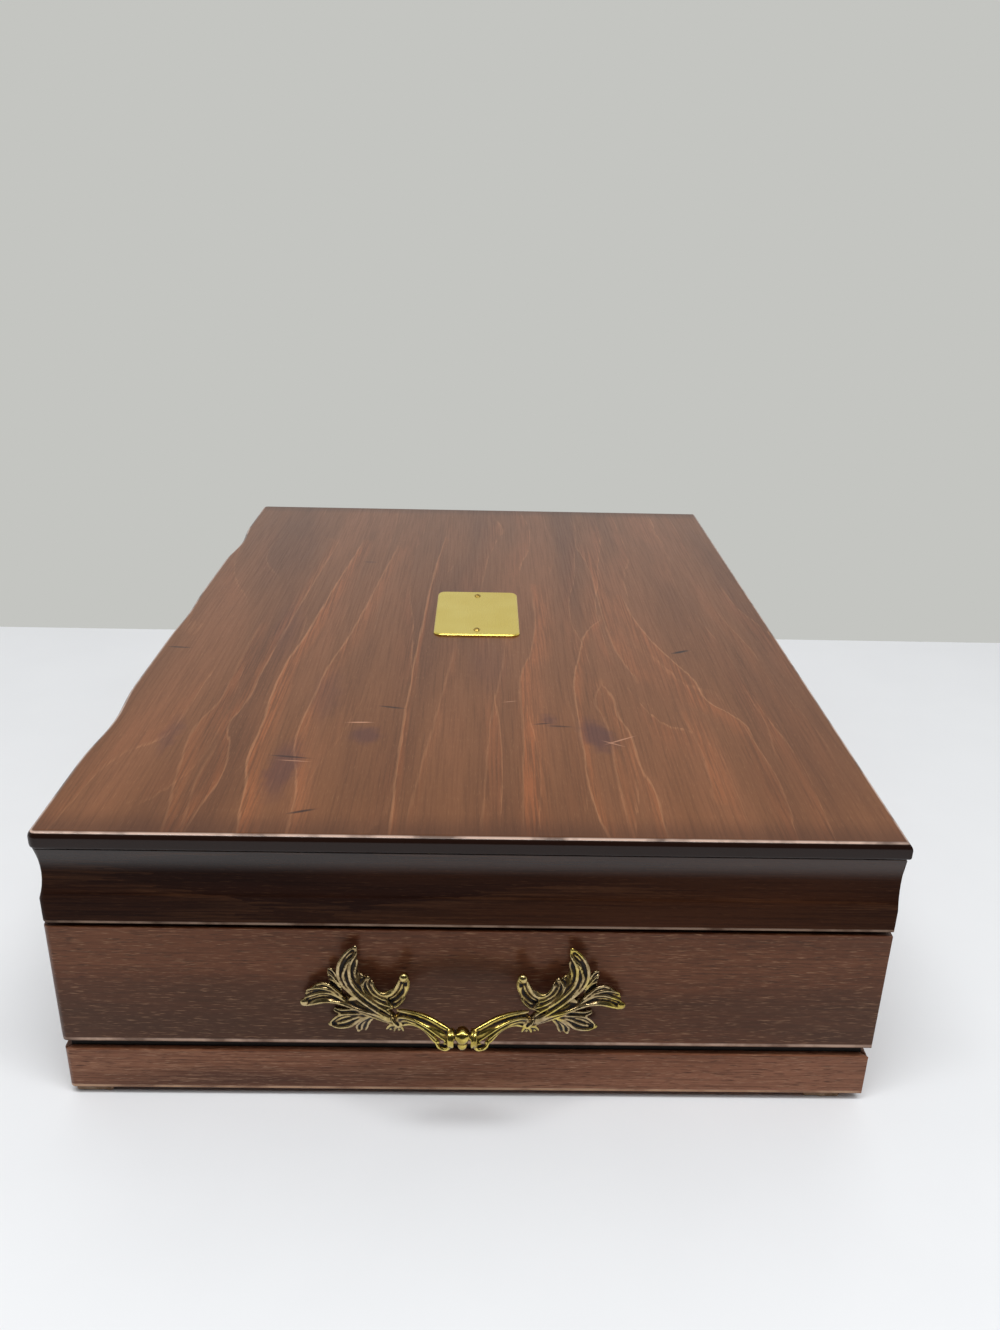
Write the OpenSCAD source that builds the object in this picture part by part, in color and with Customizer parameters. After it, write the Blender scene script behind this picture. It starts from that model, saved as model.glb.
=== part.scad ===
// Silverware chest: a mitred wooden case with a moulded, hinged lid, a cast leaf-spray pull on
// each end, knife bars in the lid and flatware bars in the case.
// X runs along the length, -Y is the serpentine front, +Y is the hinged back and Z is up.
// The origin lies on the surface that the pads stand on, under the middle of the whole outline.

/* [Case] */
// Length of the case over its end boards
case_l = 400; // [380:1:500]
// Depth of the case from the front board's face to the back board's face
case_d = 280; // [250:1:340]
// Height of the case boards
case_h = 47; // [42:0.5:90]
// Thickness of the four case boards
board_t = 12; // [11:0.5:16]
// Rounding of the upright front corners
corner_r = 2.5; // [1:0.25:5]

/* [Front curve] */
// Distance from the middle to the deepest point of each side hollow
side_hollow_x = 119; // [105:1:145]
// Half the width of a side hollow
side_hollow_half = 34; // [20:1:38]
// Depth of the side hollows
side_hollow_depth = 2.1; // [0:0.1:4]
// Half the width of the middle hollow
middle_hollow_half = 32; // [15:1:60]
// Depth of the middle hollow
middle_hollow_depth = 0.9; // [0:0.1:4]

/* [Base] */
// Thickness of the bottom panel, whose edge shows as the dark groove
panel_t = 4; // [3:0.5:6]
// Distance of the panel's edge behind the case's faces
panel_inset = 2.5; // [1:0.25:5]
// Height of the plinth boards
plinth_h = 17; // [12:0.5:30]
// Distance of the plinth's face behind the case's face
plinth_inset = 0.3; // [0:0.1:1]
// Height of the felt pads
pad_h = 3; // [2:0.5:6]
// Side of a square felt pad
pad_side = 13; // [10:0.5:20]
// Distance of the front pads from the plinth's front face
pad_front_inset = 1.5; // [1:0.5:10]
// Distance of the back pads from the plinth's back face
pad_back_inset = 7; // [1:0.5:10]

/* [Lid] */
// Height of the lid's four rails
rail_h = 28; // [26:0.2:45]
// Thickness of the lid's rails at their foot
rail_t = 12; // [11:0.5:16]
// Height of the flat fillet at the rail's foot
fillet_h = 8.6; // [6:0.2:12]
// Depth of the cove above the fillet
cove_depth = 1.7; // [0.5:0.1:3]
// How far the cove's top edge lies behind the case's face
cove_top_inset = 0.2; // [0:0.1:1.5]
// Thickness of the top board
top_t = 6.4; // [5:0.5:12]
// Overhang of the top board at the front and the ends
nose_out = 0.5; // [0:0.1:4]
// Overhang of the top board at the back
top_back_out = 0.9; // [0:0.1:2]
// Rounding of the top board's upper edge
nose_top_r = 2.5; // [1:0.1:3]
// Rounding of the top board's lower edge
nose_low_r = 1.4; // [0.5:0.1:2]

/* [Name plate] */
// Length of the blank brass plate
plate_l = 60; // [55:0.5:90]
// Width of the plate
plate_w = 40; // [25:0.5:60]
// Thickness of the plate
plate_t = 1; // [0.6:0.1:2]
// Rounding of the plate's corners
plate_r = 4; // [2:0.5:8]
// Width of the bevel round the plate
plate_bevel = 0.6; // [0.2:0.1:1]
// Distance between the plate's two screws
plate_screw_pitch = 47.5; // [20:0.1:52]
// Offset of the plate from the middle of the lid
plate_shift = -4; // [-20:1:20]
// Radius of the plate screws' shanks
plate_screw_r = 0.9; // [0.6:0.1:1.2]
// Radius of the plate screws' heads
plate_head_r = 1.7; // [1.4:0.1:2.5]
// Height of the plate screws' heads
plate_head_h = 0.9; // [0.5:0.1:1.2]
// Depth of the plate screws in the top board
plate_screw_depth = 4; // [3:0.5:4.5]

/* [Hinges] */
// Length of each butt hinge
hinge_l = 38; // [32:1:50]
// Distance from the middle of the chest to the middle of each hinge
hinge_x = 110; // [60:1:140]
// Width of a leaf on its board
leaf_w = 10.5; // [9:0.5:11]
// Thickness of a leaf
leaf_t = 0.7; // [0.5:0.1:1.2]
// Space between the two closed leaves
leaf_play = 0.1; // [0.05:0.05:0.3]
// Outer radius of the knuckle
knuckle_r = 2.2; // [2:0.1:3]
// Space between the knuckle and the boards
knuckle_gap = 0.25; // [0.2:0.05:0.6]
// Space between neighbouring knuckles along the pin
knuckle_play = 0.3; // [0.1:0.05:0.5]
// Radius of the hinge pin
pin_r = 1.1; // [0.8:0.1:1.3]
// Radial running clearance of the pin in the lid's knuckle
pin_play = 0.05; // [0.02:0.01:0.1]
// Distance from a hinge's middle to each of its screws
hinge_screw_x = 12; // [10:0.5:14]
// Radius of the hinge screws' shanks
hinge_screw_r = 1.1; // [0.8:0.1:1.3]
// Radius of the hinge screws' heads
hinge_head_r = 2.1; // [1.8:0.1:2.6]
// Height of the hinge screws' conical heads
hinge_head_h = 1.2; // [1:0.1:1.6]
// Length of the hinge screws
hinge_screw_l = 11; // [8:0.5:14]

/* [Handles] */
// Height of the pull's middle knot above the foot of the case board
grip_z = 19.5; // [16:0.5:24]
// Distance of the grip's centre line from the end board
grip_out = 19; // [18:0.5:26]
// Offset of the pull from the middle of the end board
handle_shift = -2; // [-5:0.5:5]
// Distance between the pull's two fixing screws
handle_screw_pitch = 70; // [66:1:72]
// Radius of the pull's grip arms
arm_r = 2.4; // [2:0.1:2.8]
// Radius of the grip's middle knot
knot_r = 3.2; // [2.8:0.1:3.8]
// Radius of the bosses behind the leaf sprays
boss_r = 3.4; // [3.2:0.1:4]
// Height of the bosses off the end board
boss_h = 6; // [6:0.5:7]
// Radius of the fixing screws' shanks
handle_screw_r = 1.8; // [1.5:0.1:2]
// Radius of the fixing screws' heads
handle_head_r = 4; // [3.5:0.1:4.5]
// Height of the fixing screws' heads
handle_head_h = 2.4; // [2:0.1:3]
// Length of fixing screw inside the boss
handle_screw_grip = 4.5; // [3:0.5:5]

/* [Inside] */
// Thickness of the cloth-covered lining
lining_t = 1.5; // [1:0.1:3]
// Space between the lining and the boards
lining_gap = 0.2; // [0.1:0.1:0.5]
// Distance of the lining's rim from the case's rim and the lid's rim
lining_drop = 3; // [1:0.5:6]
// Number of knife slots in each knife bar
knife_count = 12; // [8:1:12]
// Width of a knife slot
knife_slot_w = 12; // [8:0.5:15]
// Depth of a knife slot
knife_slot_d = 15; // [10:0.5:17]
// Height of the knife bars
knife_bar_h = 20; // [18:0.5:21]
// Thickness of the knife bars
knife_bar_t = 18; // [12:0.5:25]
// Distance of each knife bar's middle from the middle of the lid
knife_bar_y = 68; // [50:1:80]
// Number of notches in each flatware bar
flatware_count = 7; // [5:1:7]
// Width of a flatware notch
flatware_notch_w = 26; // [18:0.5:28]
// Depth of a flatware notch
flatware_notch_d = 22; // [16:0.5:24]
// Height of the flatware bars
flatware_bar_h = 32; // [28:0.5:34]
// Thickness of the flatware bars
flatware_bar_t = 16; // [10:0.5:22]
// Distance of each flatware bar's middle from the middle of the case
flatware_bar_y = 62; // [45:1:80]
// Clear width of the side compartment for serving pieces
side_bay_w = 96; // [60:1:100]
// Thickness of the divider beside it
divider_t = 7; // [5:0.5:10]
// Height of the divider
divider_h = 36; // [30:0.5:38]

/* [Fits] */
// Space round a screw in its clearance hole
screw_play = 0.3; // [0.2:0.05:0.5]
// Space between a bar and the lining or divider at each of its ends
bar_play = 0.3; // [0.2:0.1:0.5]
// Space between the lid bumpers and the closed lid
bumper_play = 0.1; // [0.05:0.05:0.3]
// Radius of the lid bumpers
bumper_r = 4; // [3:0.5:5]

/* [Hidden] */
$fn = 48;

// Colours
stain = "#5C4033";
stain_light = "#6B4738";
stain_top = "#7B4F3A";
raw_panel = "#2A1B14";
brass = "#CDBB60";
antique_brass = "#8A7A48";
cloth = "#4A2C24";
felt = "#9C7E68";
steel = "#8C8C88";

// Levels, from the surface up
plinth_z = pad_h;
panel_z = plinth_z + plinth_h;
case_z = panel_z + panel_t;
case_top = case_z + case_h;
lid_gap = 2 * leaf_t + leaf_play;
rail_z = case_top + lid_gap;
top_z = rail_z + rail_h;
lid_top = top_z + top_t;
pin_z = case_top + lid_gap / 2;

// Plan: the outline's middle is at the origin, so the case's own middle lies off it
half_l = case_l / 2;
knuckle_reach = knuckle_gap + 2 * knuckle_r;
outline_d = case_d + nose_out + knuckle_reach;
front_y = nose_out - outline_d / 2;
back_y = front_y + case_d;
middle_y = (front_y + back_y) / 2;
pin_y = back_y + knuckle_gap + knuckle_r;

// Inside faces
inner_x = half_l - board_t;
inner_front = front_y + board_t;
inner_back = back_y - board_t;
lid_inner_x = half_l - rail_t;
lid_inner_front = front_y + rail_t;
lid_inner_back = back_y - rail_t;
floor_z = case_z + lining_t;
lid_ceiling = top_z - lining_t;

hair = 0.01;         // overlap that makes two shapes of one piece meet
past = 1;            // how far a cut runs on beyond the face it opens
arc_steps = 4;       // straight steps in each half of a rounded upright corner
hollow_steps = 10;   // straight steps across a hollow of the front
round_steps = 4;     // straight steps in a rounded edge of the top board
cove_steps = 8;      // straight steps in the cove

// ---- Outline of the front ----

function hollow(x, middle, half, depth) =
    abs(x - middle) < half ? depth * (1 + cos(180 * (x - middle) / half)) / 2 : 0;

// How far the front lies behind its own straight line at x
function front_hollow(x) =
    hollow(x, -side_hollow_x, side_hollow_half, side_hollow_depth)
    + hollow(x, 0, middle_hollow_half, middle_hollow_depth)
    + hollow(x, side_hollow_x, side_hollow_half, side_hollow_depth);

function stations(middle, half) =
    [for (i = [0 : hollow_steps]) middle + half * (2 * i / hollow_steps - 1)];

front_xs = concat(
    stations(-side_hollow_x, side_hollow_half),
    stations(0, middle_hollow_half),
    stations(side_hollow_x, side_hollow_half)
);

// The front's line from left to right, moved outwards by out; its ends run on round the corners
// as far as corner_turn degrees, where 45 is the mitre and 90 the end face
function corner(side, turn, out) = [
    side * (half_l - corner_r + (corner_r + out) * sin(turn)),
    front_y + corner_r - (corner_r + out) * cos(turn)
];
function front_line(out, corner_turn) = concat(
    [for (i = [arc_steps : -1 : 0]) corner(-1, corner_turn * i / arc_steps, out)],
    [for (x = front_xs) [x, front_y + front_hollow(x) - out]],
    [for (i = [0 : arc_steps]) corner(1, corner_turn * i / arc_steps, out)]
);

// Whole outline, counter-clockwise from above
function whole_outline(out, back_out) = concat(
    front_line(out, 90),
    [[half_l + out, back_y + back_out], [-half_l - out, back_y + back_out]]
);

// ---- Shared solids ----

function middle_of(ring) = [for (p = ring) 1] * ring / len(ring);

// Solid through rings that run counter-clockwise when seen from the last ring
module loft(rings) {
    n = len(rings);
    m = len(rings[0]);
    points = concat(
        [for (ring = rings) each ring],
        [middle_of(rings[0]), middle_of(rings[n - 1])]
    );
    sides = [
        for (i = [0 : n - 2]) for (j = [0 : m - 1])
            let (a = i * m + j, b = i * m + (j + 1) % m)
            each [[a, a + m, b + m], [a, b + m, b]]
    ];
    first_cap = [for (j = [0 : m - 1]) [n * m, j, (j + 1) % m]];
    last_cap = [for (j = [0 : m - 1]) [n * m + 1, (n - 1) * m + (j + 1) % m, (n - 1) * m + j]];
    polyhedron(points, concat(sides, first_cap, last_cap), convexity = 6);
}

// Front board in plan, between its mitres, with a straight inner face
module front_plan(inset, thick) {
    inner = [half_l - thick, front_y + thick];
    polygon(concat(
        front_line(-inset, 45),
        [inner, [-inner.x, inner.y]]
    ));
}

// Right end board in plan, from the front mitre to the back mitre
module end_plan(inset, thick) {
    polygon(concat(
        [[half_l - thick, front_y + thick]],
        [for (i = [0 : arc_steps]) corner(1, 45 + 45 * i / arc_steps, -inset)],
        [[half_l - inset, back_y - inset], [half_l - thick, back_y - thick]]
    ));
}

// Back board in plan, between its mitres
module back_plan(inset, thick) {
    outer = [half_l - inset, back_y - inset];
    inner = [half_l - thick, back_y - thick];
    polygon([outer, [-outer.x, outer.y], [-inner.x, inner.y], inner]);
}

// Screw along +Z with its flat head's face at z = 0 and its tip at z = -length
module countersunk_screw(shank_r, head_r, head_h, length, play) {
    rotate_extrude()
        polygon([
            [0, 0], [head_r + play, 0], [shank_r + play, -head_h],
            [shank_r + play, -length - play], [0, -length - play]
        ]);
}

// ---- Case ----

module front_board() {
    color(stain)
        translate([0, 0, case_z])
            linear_extrude(case_h) front_plan(0, board_t);
}

module back_board() {
    color(stain)
        difference() {
            translate([0, 0, case_z])
                linear_extrude(case_h) back_plan(0, board_t);
            hinge_screws_at(leaf_level(0), false, screw_play / 2);
        }
}

// End board, with counterbored holes for the pull's screws
module end_board() {
    difference() {
        translate([0, 0, case_z])
            linear_extrude(case_h) end_plan(0, board_t);
        for (side = [-1, 1])
            translate([inner_x, handle_y(side), handle_screw_z])
                rotate([0, 90, 0]) {
                    translate([0, 0, -hair])
                        cylinder(h = handle_head_h + screw_play + hair, r = handle_head_r + screw_play);
                    cylinder(h = board_t + hair, r = handle_screw_r + screw_play);
                }
    }
}

module right_board() {
    color(stain) end_board();
}

module left_board() {
    color(stain) mirror([1, 0, 0]) end_board();
}

module bottom_panel() {
    color(raw_panel)
        translate([0, 0, panel_z])
            linear_extrude(panel_t) polygon(whole_outline(-panel_inset, -panel_inset));
}

// ---- Plinth ----

module plinth_front() {
    color(stain_light)
        translate([0, 0, plinth_z])
            linear_extrude(plinth_h) front_plan(plinth_inset, board_t);
}

module plinth_back() {
    color(stain_light)
        translate([0, 0, plinth_z])
            linear_extrude(plinth_h) back_plan(plinth_inset, board_t);
}

module plinth_end() {
    translate([0, 0, plinth_z])
        linear_extrude(plinth_h) end_plan(plinth_inset, board_t);
}

module plinth_right() {
    color(stain_light) plinth_end();
}

module plinth_left() {
    color(stain_light) mirror([1, 0, 0]) plinth_end();
}

module foot_pads() {
    front_pad_y = front_y + plinth_inset + pad_front_inset + pad_side / 2;
    back_pad_y = back_y - plinth_inset - pad_back_inset - pad_side / 2;
    pad_x = half_l - plinth_inset - pad_front_inset - pad_side / 2;
    color(felt)
        for (x = [-pad_x, pad_x], y = [front_pad_y, back_pad_y])
            translate([x, y, pad_h / 2])
                cube([pad_side, pad_side, pad_h], center = true);
}

// ---- Hinges ----

// z of the face where a hinge leaf's screw heads lie flush: 0 is the case's leaf, 1 the lid's
function leaf_level(upper) = case_top + leaf_t + upper * leaf_play;

// Knuckle spans along the pin, as [start, end] from the hinge's middle
knuckle_third = hinge_l / 3;
side_knuckle = [knuckle_third / 2 + knuckle_play / 2, hinge_l / 2];
lid_knuckle = [-knuckle_third / 2 + knuckle_play / 2, knuckle_third / 2 - knuckle_play / 2];

module knuckle(span, bore_r, leaf_z) {
    length = span[1] - span[0];
    difference() {
        union() {
            translate([span[0], pin_y, pin_z])
                rotate([0, 90, 0]) cylinder(h = length, r = knuckle_r);
            translate([span[0], back_y - hair, leaf_z])
                cube([length, pin_y - back_y + hair, leaf_t]);
        }
        translate([span[0] - hair, pin_y, pin_z])
            rotate([0, 90, 0]) cylinder(h = length + 2 * hair, r = bore_r);
    }
}

module leaf_plate(leaf_z) {
    translate([-hinge_l / 2, back_y - leaf_w, leaf_z])
        cube([hinge_l, leaf_w, leaf_t]);
}

module hinge_screws_at(level, upward, play) {
    for (x = [-hinge_x, hinge_x], side = [-1, 1])
        translate([x + side * hinge_screw_x, back_y - leaf_w / 2, level])
            mirror([0, 0, upward ? 1 : 0])
                countersunk_screw(hinge_screw_r, hinge_head_r, hinge_head_h, hinge_screw_l, play);
}

module base_hinge_leaves() {
    color(brass)
        difference() {
            for (x = [-hinge_x, hinge_x])
                translate([x, 0, 0]) {
                    leaf_plate(case_top);
                    knuckle(side_knuckle, pin_r, case_top);
                    mirror([1, 0, 0]) knuckle(side_knuckle, pin_r, case_top);
                }
            hinge_screws_at(leaf_level(0), false, screw_play / 2);
        }
}

module lid_hinge_leaves() {
    color(brass)
        difference() {
            for (x = [-hinge_x, hinge_x])
                translate([x, 0, 0]) {
                    leaf_plate(leaf_level(1));
                    knuckle(lid_knuckle, pin_r + pin_play, leaf_level(1));
                }
            hinge_screws_at(leaf_level(1), true, screw_play / 2);
        }
}

module hinge_pins() {
    color(steel)
        for (x = [-hinge_x, hinge_x])
            translate([x - hinge_l / 2, pin_y, pin_z])
                rotate([0, 90, 0]) cylinder(h = hinge_l, r = pin_r);
}

module base_hinge_screws() {
    color(brass) hinge_screws_at(leaf_level(0), false, 0);
}

module lid_hinge_screws() {
    color(brass) hinge_screws_at(leaf_level(1), true, 0);
}

module lid_bumpers() {
    bumper_x = half_l - board_t / 2 - corner_r - bumper_r;
    color(felt)
        for (x = [-bumper_x, bumper_x])
            translate([x, front_y + board_t / 2, case_top])
                cylinder(h = lid_gap - bumper_play, r = bumper_r);
}

// ---- Cast pull ----
// Points are [out from the end board, sideways from the middle, up from the case board's foot].
// The spray is drawn for one half and mirrored.

handle_screw_z = case_z + 22;
function handle_y(side) = middle_y + handle_shift + side * handle_screw_pitch / 2;

blade_steps = 5;    // lengths in a large leaf blade
lobe_steps = 4;     // lengths in a small lobe
scroll_steps = 8;   // lengths in the scroll
arm_steps = 8;      // lengths in a grip arm and in a stem
arm_sides = 8;      // points round a grip arm

function bezier(p, t) =
    pow(1 - t, 3) * p[0] + 3 * t * pow(1 - t, 2) * p[1]
    + 3 * t * t * (1 - t) * p[2] + pow(t, 3) * p[3];
function unit(v) = v / norm(v);
function along(p, t) = unit(bezier(p, min(t + hair, 1)) - bezier(p, max(t - hair, 0)));

// Direction away from the board, square to the blade's own line
function outward(p, t) = let (d = along(p, t)) unit([1, 0, 0] - d.x * d);

// Leaf sections as [sideways, outwards] shares of the half width and the thickness.
// A lobe has a trough between two raised rims; the scroll has a midrib in its trough.
lobe_section = [[1, 0], [0.7, 1], [0, 0.3], [-0.7, 1], [-1, 0], [0, -0.8]];
scroll_section = [[1, 0], [0.8, 0.9], [0.42, 0.3], [0, 1], [-0.42, 0.3], [-0.8, 0.9], [-1, 0], [0, -0.8]];

// Ring of a section at t along the curve p
function section_ring(p, t, section, half_w, thick) =
    let (at = bezier(p, t), d = along(p, t), n = outward(p, t), s = cross(n, d))
    [for (q = section) at + q.x * half_w * s + q.y * thick * n];

// Share of a blade's full width at t: half at the root, full in the belly, and from tip_start
// on a rounded tip that stays just open
tip_start = 0.75;
tip_run = 0.26;
tip_turn = 120;     // degrees of the swelling gone through where the tip starts
function belly(t) = t < tip_start
    ? 0.5 + 0.5 * sin(tip_turn * t / tip_start)
    : (0.5 + 0.5 * sin(tip_turn)) * sqrt(max(1 - pow((t - tip_start) / tip_run, 2), 0));

module blade(p, half_w, thick, steps, section = lobe_section) {
    loft([
        for (i = [0 : steps])
            let (t = 1 - pow(1 - i / steps, 1.4), w = belly(t))
            section_ring(p, t, section, half_w * w, thick * (0.5 + 0.5 * w))
    ]);
}

// Tapered, fluted bar along a curve
arm_section = [
    for (k = [0 : arm_sides - 1])
        let (a = 360 * k / arm_sides)
        (k % 2 == 0 ? 1 : 0.86) * [cos(a), sin(a)]
];
module fluted_bar(p, start_r, end_r, steps) {
    loft([
        for (i = [0 : steps])
            let (t = i / steps, r = start_r + (end_r - start_r) * t)
            section_ring(p, t, arm_section, r, r)
    ]);
}

// Bead that swells out of a blade's end and runs down towards the board
module bead(at, r, sink) {
    hull() {
        translate(at) sphere(r = r, $fn = 12);
        translate(at - [sink, 0, 0]) sphere(r = 0.7 * r, $fn = 8);
    }
}

// The stem, the grip's arm and the curl under it: curve, radius at its start and at its end
stem = [[8.5, 22.5, 17.4], [7.5, 28, 19], [6, 34, 21.5], [4.5, 40.5, 23.5]];
arm = [[8.5, 22.8, 17.4], [9.5, 18, 23], [grip_out - 1.5, 10, 23.6], [grip_out, 2.2, grip_z]];
curl = [
    [grip_out - 2, 9.6, grip_z], [grip_out - 1, 8.4, grip_z - 3.8],
    [grip_out, 4.6, grip_z - 4], [grip_out - 0.6, 5.4, grip_z - 1]
];
bars = [[stem, 2.4, 1.5], [arm, arm_r, arm_r * 1.08], [curl, 1.2, 0.8]];

// Leaves and lobes: curve, half width, thickness
inner_leaf = [[7.5, 25, 23], [6.5, 31, 25], [5.6, 33.2, 28.5], [5, 31.4, 31.8]];
outer_leaf = [[5.5, 37, 21.5], [5, 42.5, 24.6], [4.6, 48, 24], [3.5, 54.2, 19.6]];
leaves = [
    [[[6.5, 29, 21.2], [5.5, 39, 27.5], [4.5, 43, 36], [4, 35.6, 43.6]], 2.4, 1.6],
    [outer_leaf, 2.2, 1.5],
    [[[6.5, 30.5, 18], [5.5, 35, 16.6], [4.4, 39.5, 14.5], [3.2, 45, 10.8]], 2.6, 1.5]
];
lobes = [
    [[[7, 27, 23], [6, 33, 26], [5, 36.5, 29.5], [4.2, 34.9, 33.8]], 1.4, 1.2],
    [inner_leaf, 1.4, 1.2],
    [[[4.8, 41, 24.5], [4.4, 45.5, 27.6], [4, 49, 27.4], [3.5, 52, 25.4]], 1.5, 1.1],
    [[[5.4, 36.6, 26.6], [4.6, 40.6, 28.8], [3.8, 42.8, 32], [3, 45.5, 33.6]], 1.4, 1.1],
    [[[5.2, 37.6, 24.8], [4.6, 41, 27.6], [3.8, 43, 29.4], [3, 45, 29.6]], 1.1, 1],
    [[[6, 33, 19.6], [5, 37.5, 18.6], [4.4, 40.5, 18.2], [3.6, 43.6, 18.8]], 1.3, 1],
    [[[7, 28.5, 18], [6, 31.5, 16], [4.8, 34, 13], [3.6, 34.4, 8.2]], 1.9, 1.2],
    [[[9, 21, 16.8], [8.8, 22.5, 15], [8.2, 23.6, 14], [7.2, 25.6, 12]], 1.6, 1.1]
];

// The C-scroll above the arm, and the beads at tips: place, radius, run down
scroll = [[5.5, 30.6, 31], [6, 30.4, 22.6], [6.8, 18.8, 22], [6.8, 19.4, 32.6]];
beads = [
    [scroll[3], 1.9, 3], [inner_leaf[3], 1, 2], [outer_leaf[3] - [0, 1.2, -0.4], 1.6, 1.5]
];

// The collar where an arm meets the knot
collar_y = 3.4;
collar_l = 1.2;

module half_spray() {
    boss_y = handle_screw_pitch / 2;
    boss_z = handle_screw_z - case_z;

    for (q = bars) fluted_bar(q[0], q[1], q[2], arm_steps);
    for (q = leaves) blade(q[0], q[1], q[2], blade_steps);
    for (q = lobes) blade(q[0], q[1], q[2], lobe_steps);
    for (q = beads) bead(q[0], q[1], q[2]);
    blade(scroll, 2.5, 1.6, scroll_steps, scroll_section);

    // boss for the screw, and the swelling of the leaf over it
    translate([0, boss_y, boss_z])
        rotate([0, 90, 0]) cylinder(h = boss_h, r = boss_r, $fn = 16);
    hull() {
        translate([boss_h - 2, boss_y, boss_z]) sphere(r = boss_r - 0.4, $fn = 12);
        translate([boss_h - 2.5, boss_y + 6, boss_z + 0.6]) sphere(r = boss_r - 1.2, $fn = 10);
    }
    translate([grip_out, collar_y, grip_z])
        rotate([90, 0, 0])
            cylinder(h = collar_l, r1 = arm_r * 1.25, r2 = arm_r * 1.35, $fn = 14);
}

module handle() {
    difference() {
        translate([half_l, middle_y + handle_shift, case_z])
            union() {
                half_spray();
                mirror([0, 1, 0]) half_spray();
                translate([grip_out, 0, grip_z]) sphere(r = knot_r, $fn = 16);
            }
        for (side = [-1, 1])
            translate([half_l - hair, handle_y(side), handle_screw_z])
                rotate([0, 90, 0])
                    cylinder(
                        h = handle_screw_grip + screw_play,
                        r = handle_screw_r + screw_play / 2,
                        $fn = 16
                    );
    }
}

module right_handle() {
    color(antique_brass) handle();
}

module left_handle() {
    color(antique_brass) mirror([1, 0, 0]) handle();
}

module handle_screws() {
    head_x = inner_x + screw_play + handle_head_h;
    color(steel)
        for (end = [0, 1], side = [-1, 1])
            mirror([end, 0, 0])
                translate([head_x, handle_y(side), handle_screw_z])
                    rotate([0, 90, 0]) {
                        translate([0, 0, -handle_head_h])
                            cylinder(h = handle_head_h, r = handle_head_r);
                        cylinder(h = half_l - head_x + handle_screw_grip, r = handle_screw_r);
                    }
}

// ---- Inside of the case ----

lining_x = inner_x - lining_gap;
lining_front = inner_front + lining_gap;
lining_back = inner_back - lining_gap;
bay_x = lining_x - lining_t;
bay_front = lining_front + lining_t;
bay_back = lining_back - lining_t;

// Open cloth-covered tray, standing on z = 0, with its walls inside the given faces
module lining_tray(half_x, y_front, y_back, height) {
    difference() {
        translate([-half_x, y_front, 0])
            cube([2 * half_x, y_back - y_front, height]);
        translate([-half_x + lining_t, y_front + lining_t, lining_t])
            cube([2 * (half_x - lining_t), y_back - y_front - 2 * lining_t, height]);
    }
}

module base_lining() {
    color(cloth)
        translate([0, 0, case_z])
            lining_tray(lining_x, lining_front, lining_back, case_h - lining_drop);
}

divider_x = bay_x - side_bay_w - divider_t;

module compartment_divider() {
    color(cloth)
        translate([divider_x, bay_front + bar_play, floor_z])
            cube([divider_t, bay_back - bay_front - 2 * bar_play, divider_h]);
}

// Bar with a row of round-bottomed notches in its top, from x_from to x_to and centred on y = 0
module notched_bar(x_from, x_to, thick, height, count, notch_w, notch_d) {
    pitch = (x_to - x_from) / count;
    difference() {
        translate([x_from, -thick / 2, 0])
            cube([x_to - x_from, thick, height]);
        for (i = [0 : count - 1])
            translate([x_from + pitch * (i + 0.5), 0, height - notch_d + notch_w / 2]) {
                rotate([90, 0, 0])
                    cylinder(h = thick + 2 * past, r = notch_w / 2, center = true);
                translate([-notch_w / 2, -thick / 2 - past, 0])
                    cube([notch_w, thick + 2 * past, notch_d]);
            }
    }
}

module flatware_bar(y) {
    color(cloth)
        translate([0, y, floor_z])
            notched_bar(
                -bay_x + bar_play, divider_x - bar_play, flatware_bar_t, flatware_bar_h,
                flatware_count, flatware_notch_w, flatware_notch_d
            );
}

module flatware_bar_front() {
    flatware_bar(middle_y - flatware_bar_y);
}

module flatware_bar_back() {
    flatware_bar(middle_y + flatware_bar_y);
}

// ---- Lid ----

// The rail's outer face from its foot up, as [outwards, z]
cove_h = rail_h - fillet_h;
rail_profile = concat(
    [[0, rail_z]],
    [
        for (i = [0 : cove_steps])
            let (t = i / cove_steps)
            [-cove_top_inset * t - cove_depth * (1 - pow(2 * t - 1, 2)), rail_z + fillet_h + cove_h * t]
    ]
);

// Front rail, following the serpentine line between its mitres
module lid_front_rail() {
    inner = [half_l - rail_t, front_y + rail_t];
    line = [for (q = rail_profile) front_line(q.x, 45)];
    color(stain)
        loft([
            for (i = [0 : len(line[0]) - 1])
                let (inner_place = min(max(line[0][i].x, -inner.x), inner.x))
                concat(
                    [for (j = [0 : len(rail_profile) - 1])
                        [line[j][i].x, line[j][i].y, rail_profile[j].y]],
                    [[inner_place, inner.y, top_z], [inner_place, inner.y, rail_z]]
                )
        ]);
}

// End rail from its front mitre to its back mitre
module lid_end_rail() {
    inner = half_l - rail_t;
    // turn 45 to 90 goes round the front corner, and the last place is the back mitre
    outer_places = [
        for (q = rail_profile) concat(
            [for (i = [0 : arc_steps]) corner(1, 45 + 45 * i / arc_steps, q.x)],
            [[half_l + q.x, back_y]]
        )
    ];
    inner_places = concat(
        [for (i = [0 : arc_steps]) [inner, front_y + rail_t]],
        [[inner, back_y]]
    );
    loft([
        for (i = [0 : arc_steps + 1])
            concat(
                [for (j = [0 : len(rail_profile) - 1])
                    [outer_places[j][i].x, outer_places[j][i].y, rail_profile[j].y]],
                [[inner, inner_places[i].y, top_z], [inner, inner_places[i].y, rail_z]]
            )
    ]);
}

module lid_right_rail() {
    color(stain) lid_end_rail();
}

module lid_left_rail() {
    color(stain) mirror([1, 0, 0]) lid_end_rail();
}

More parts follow.
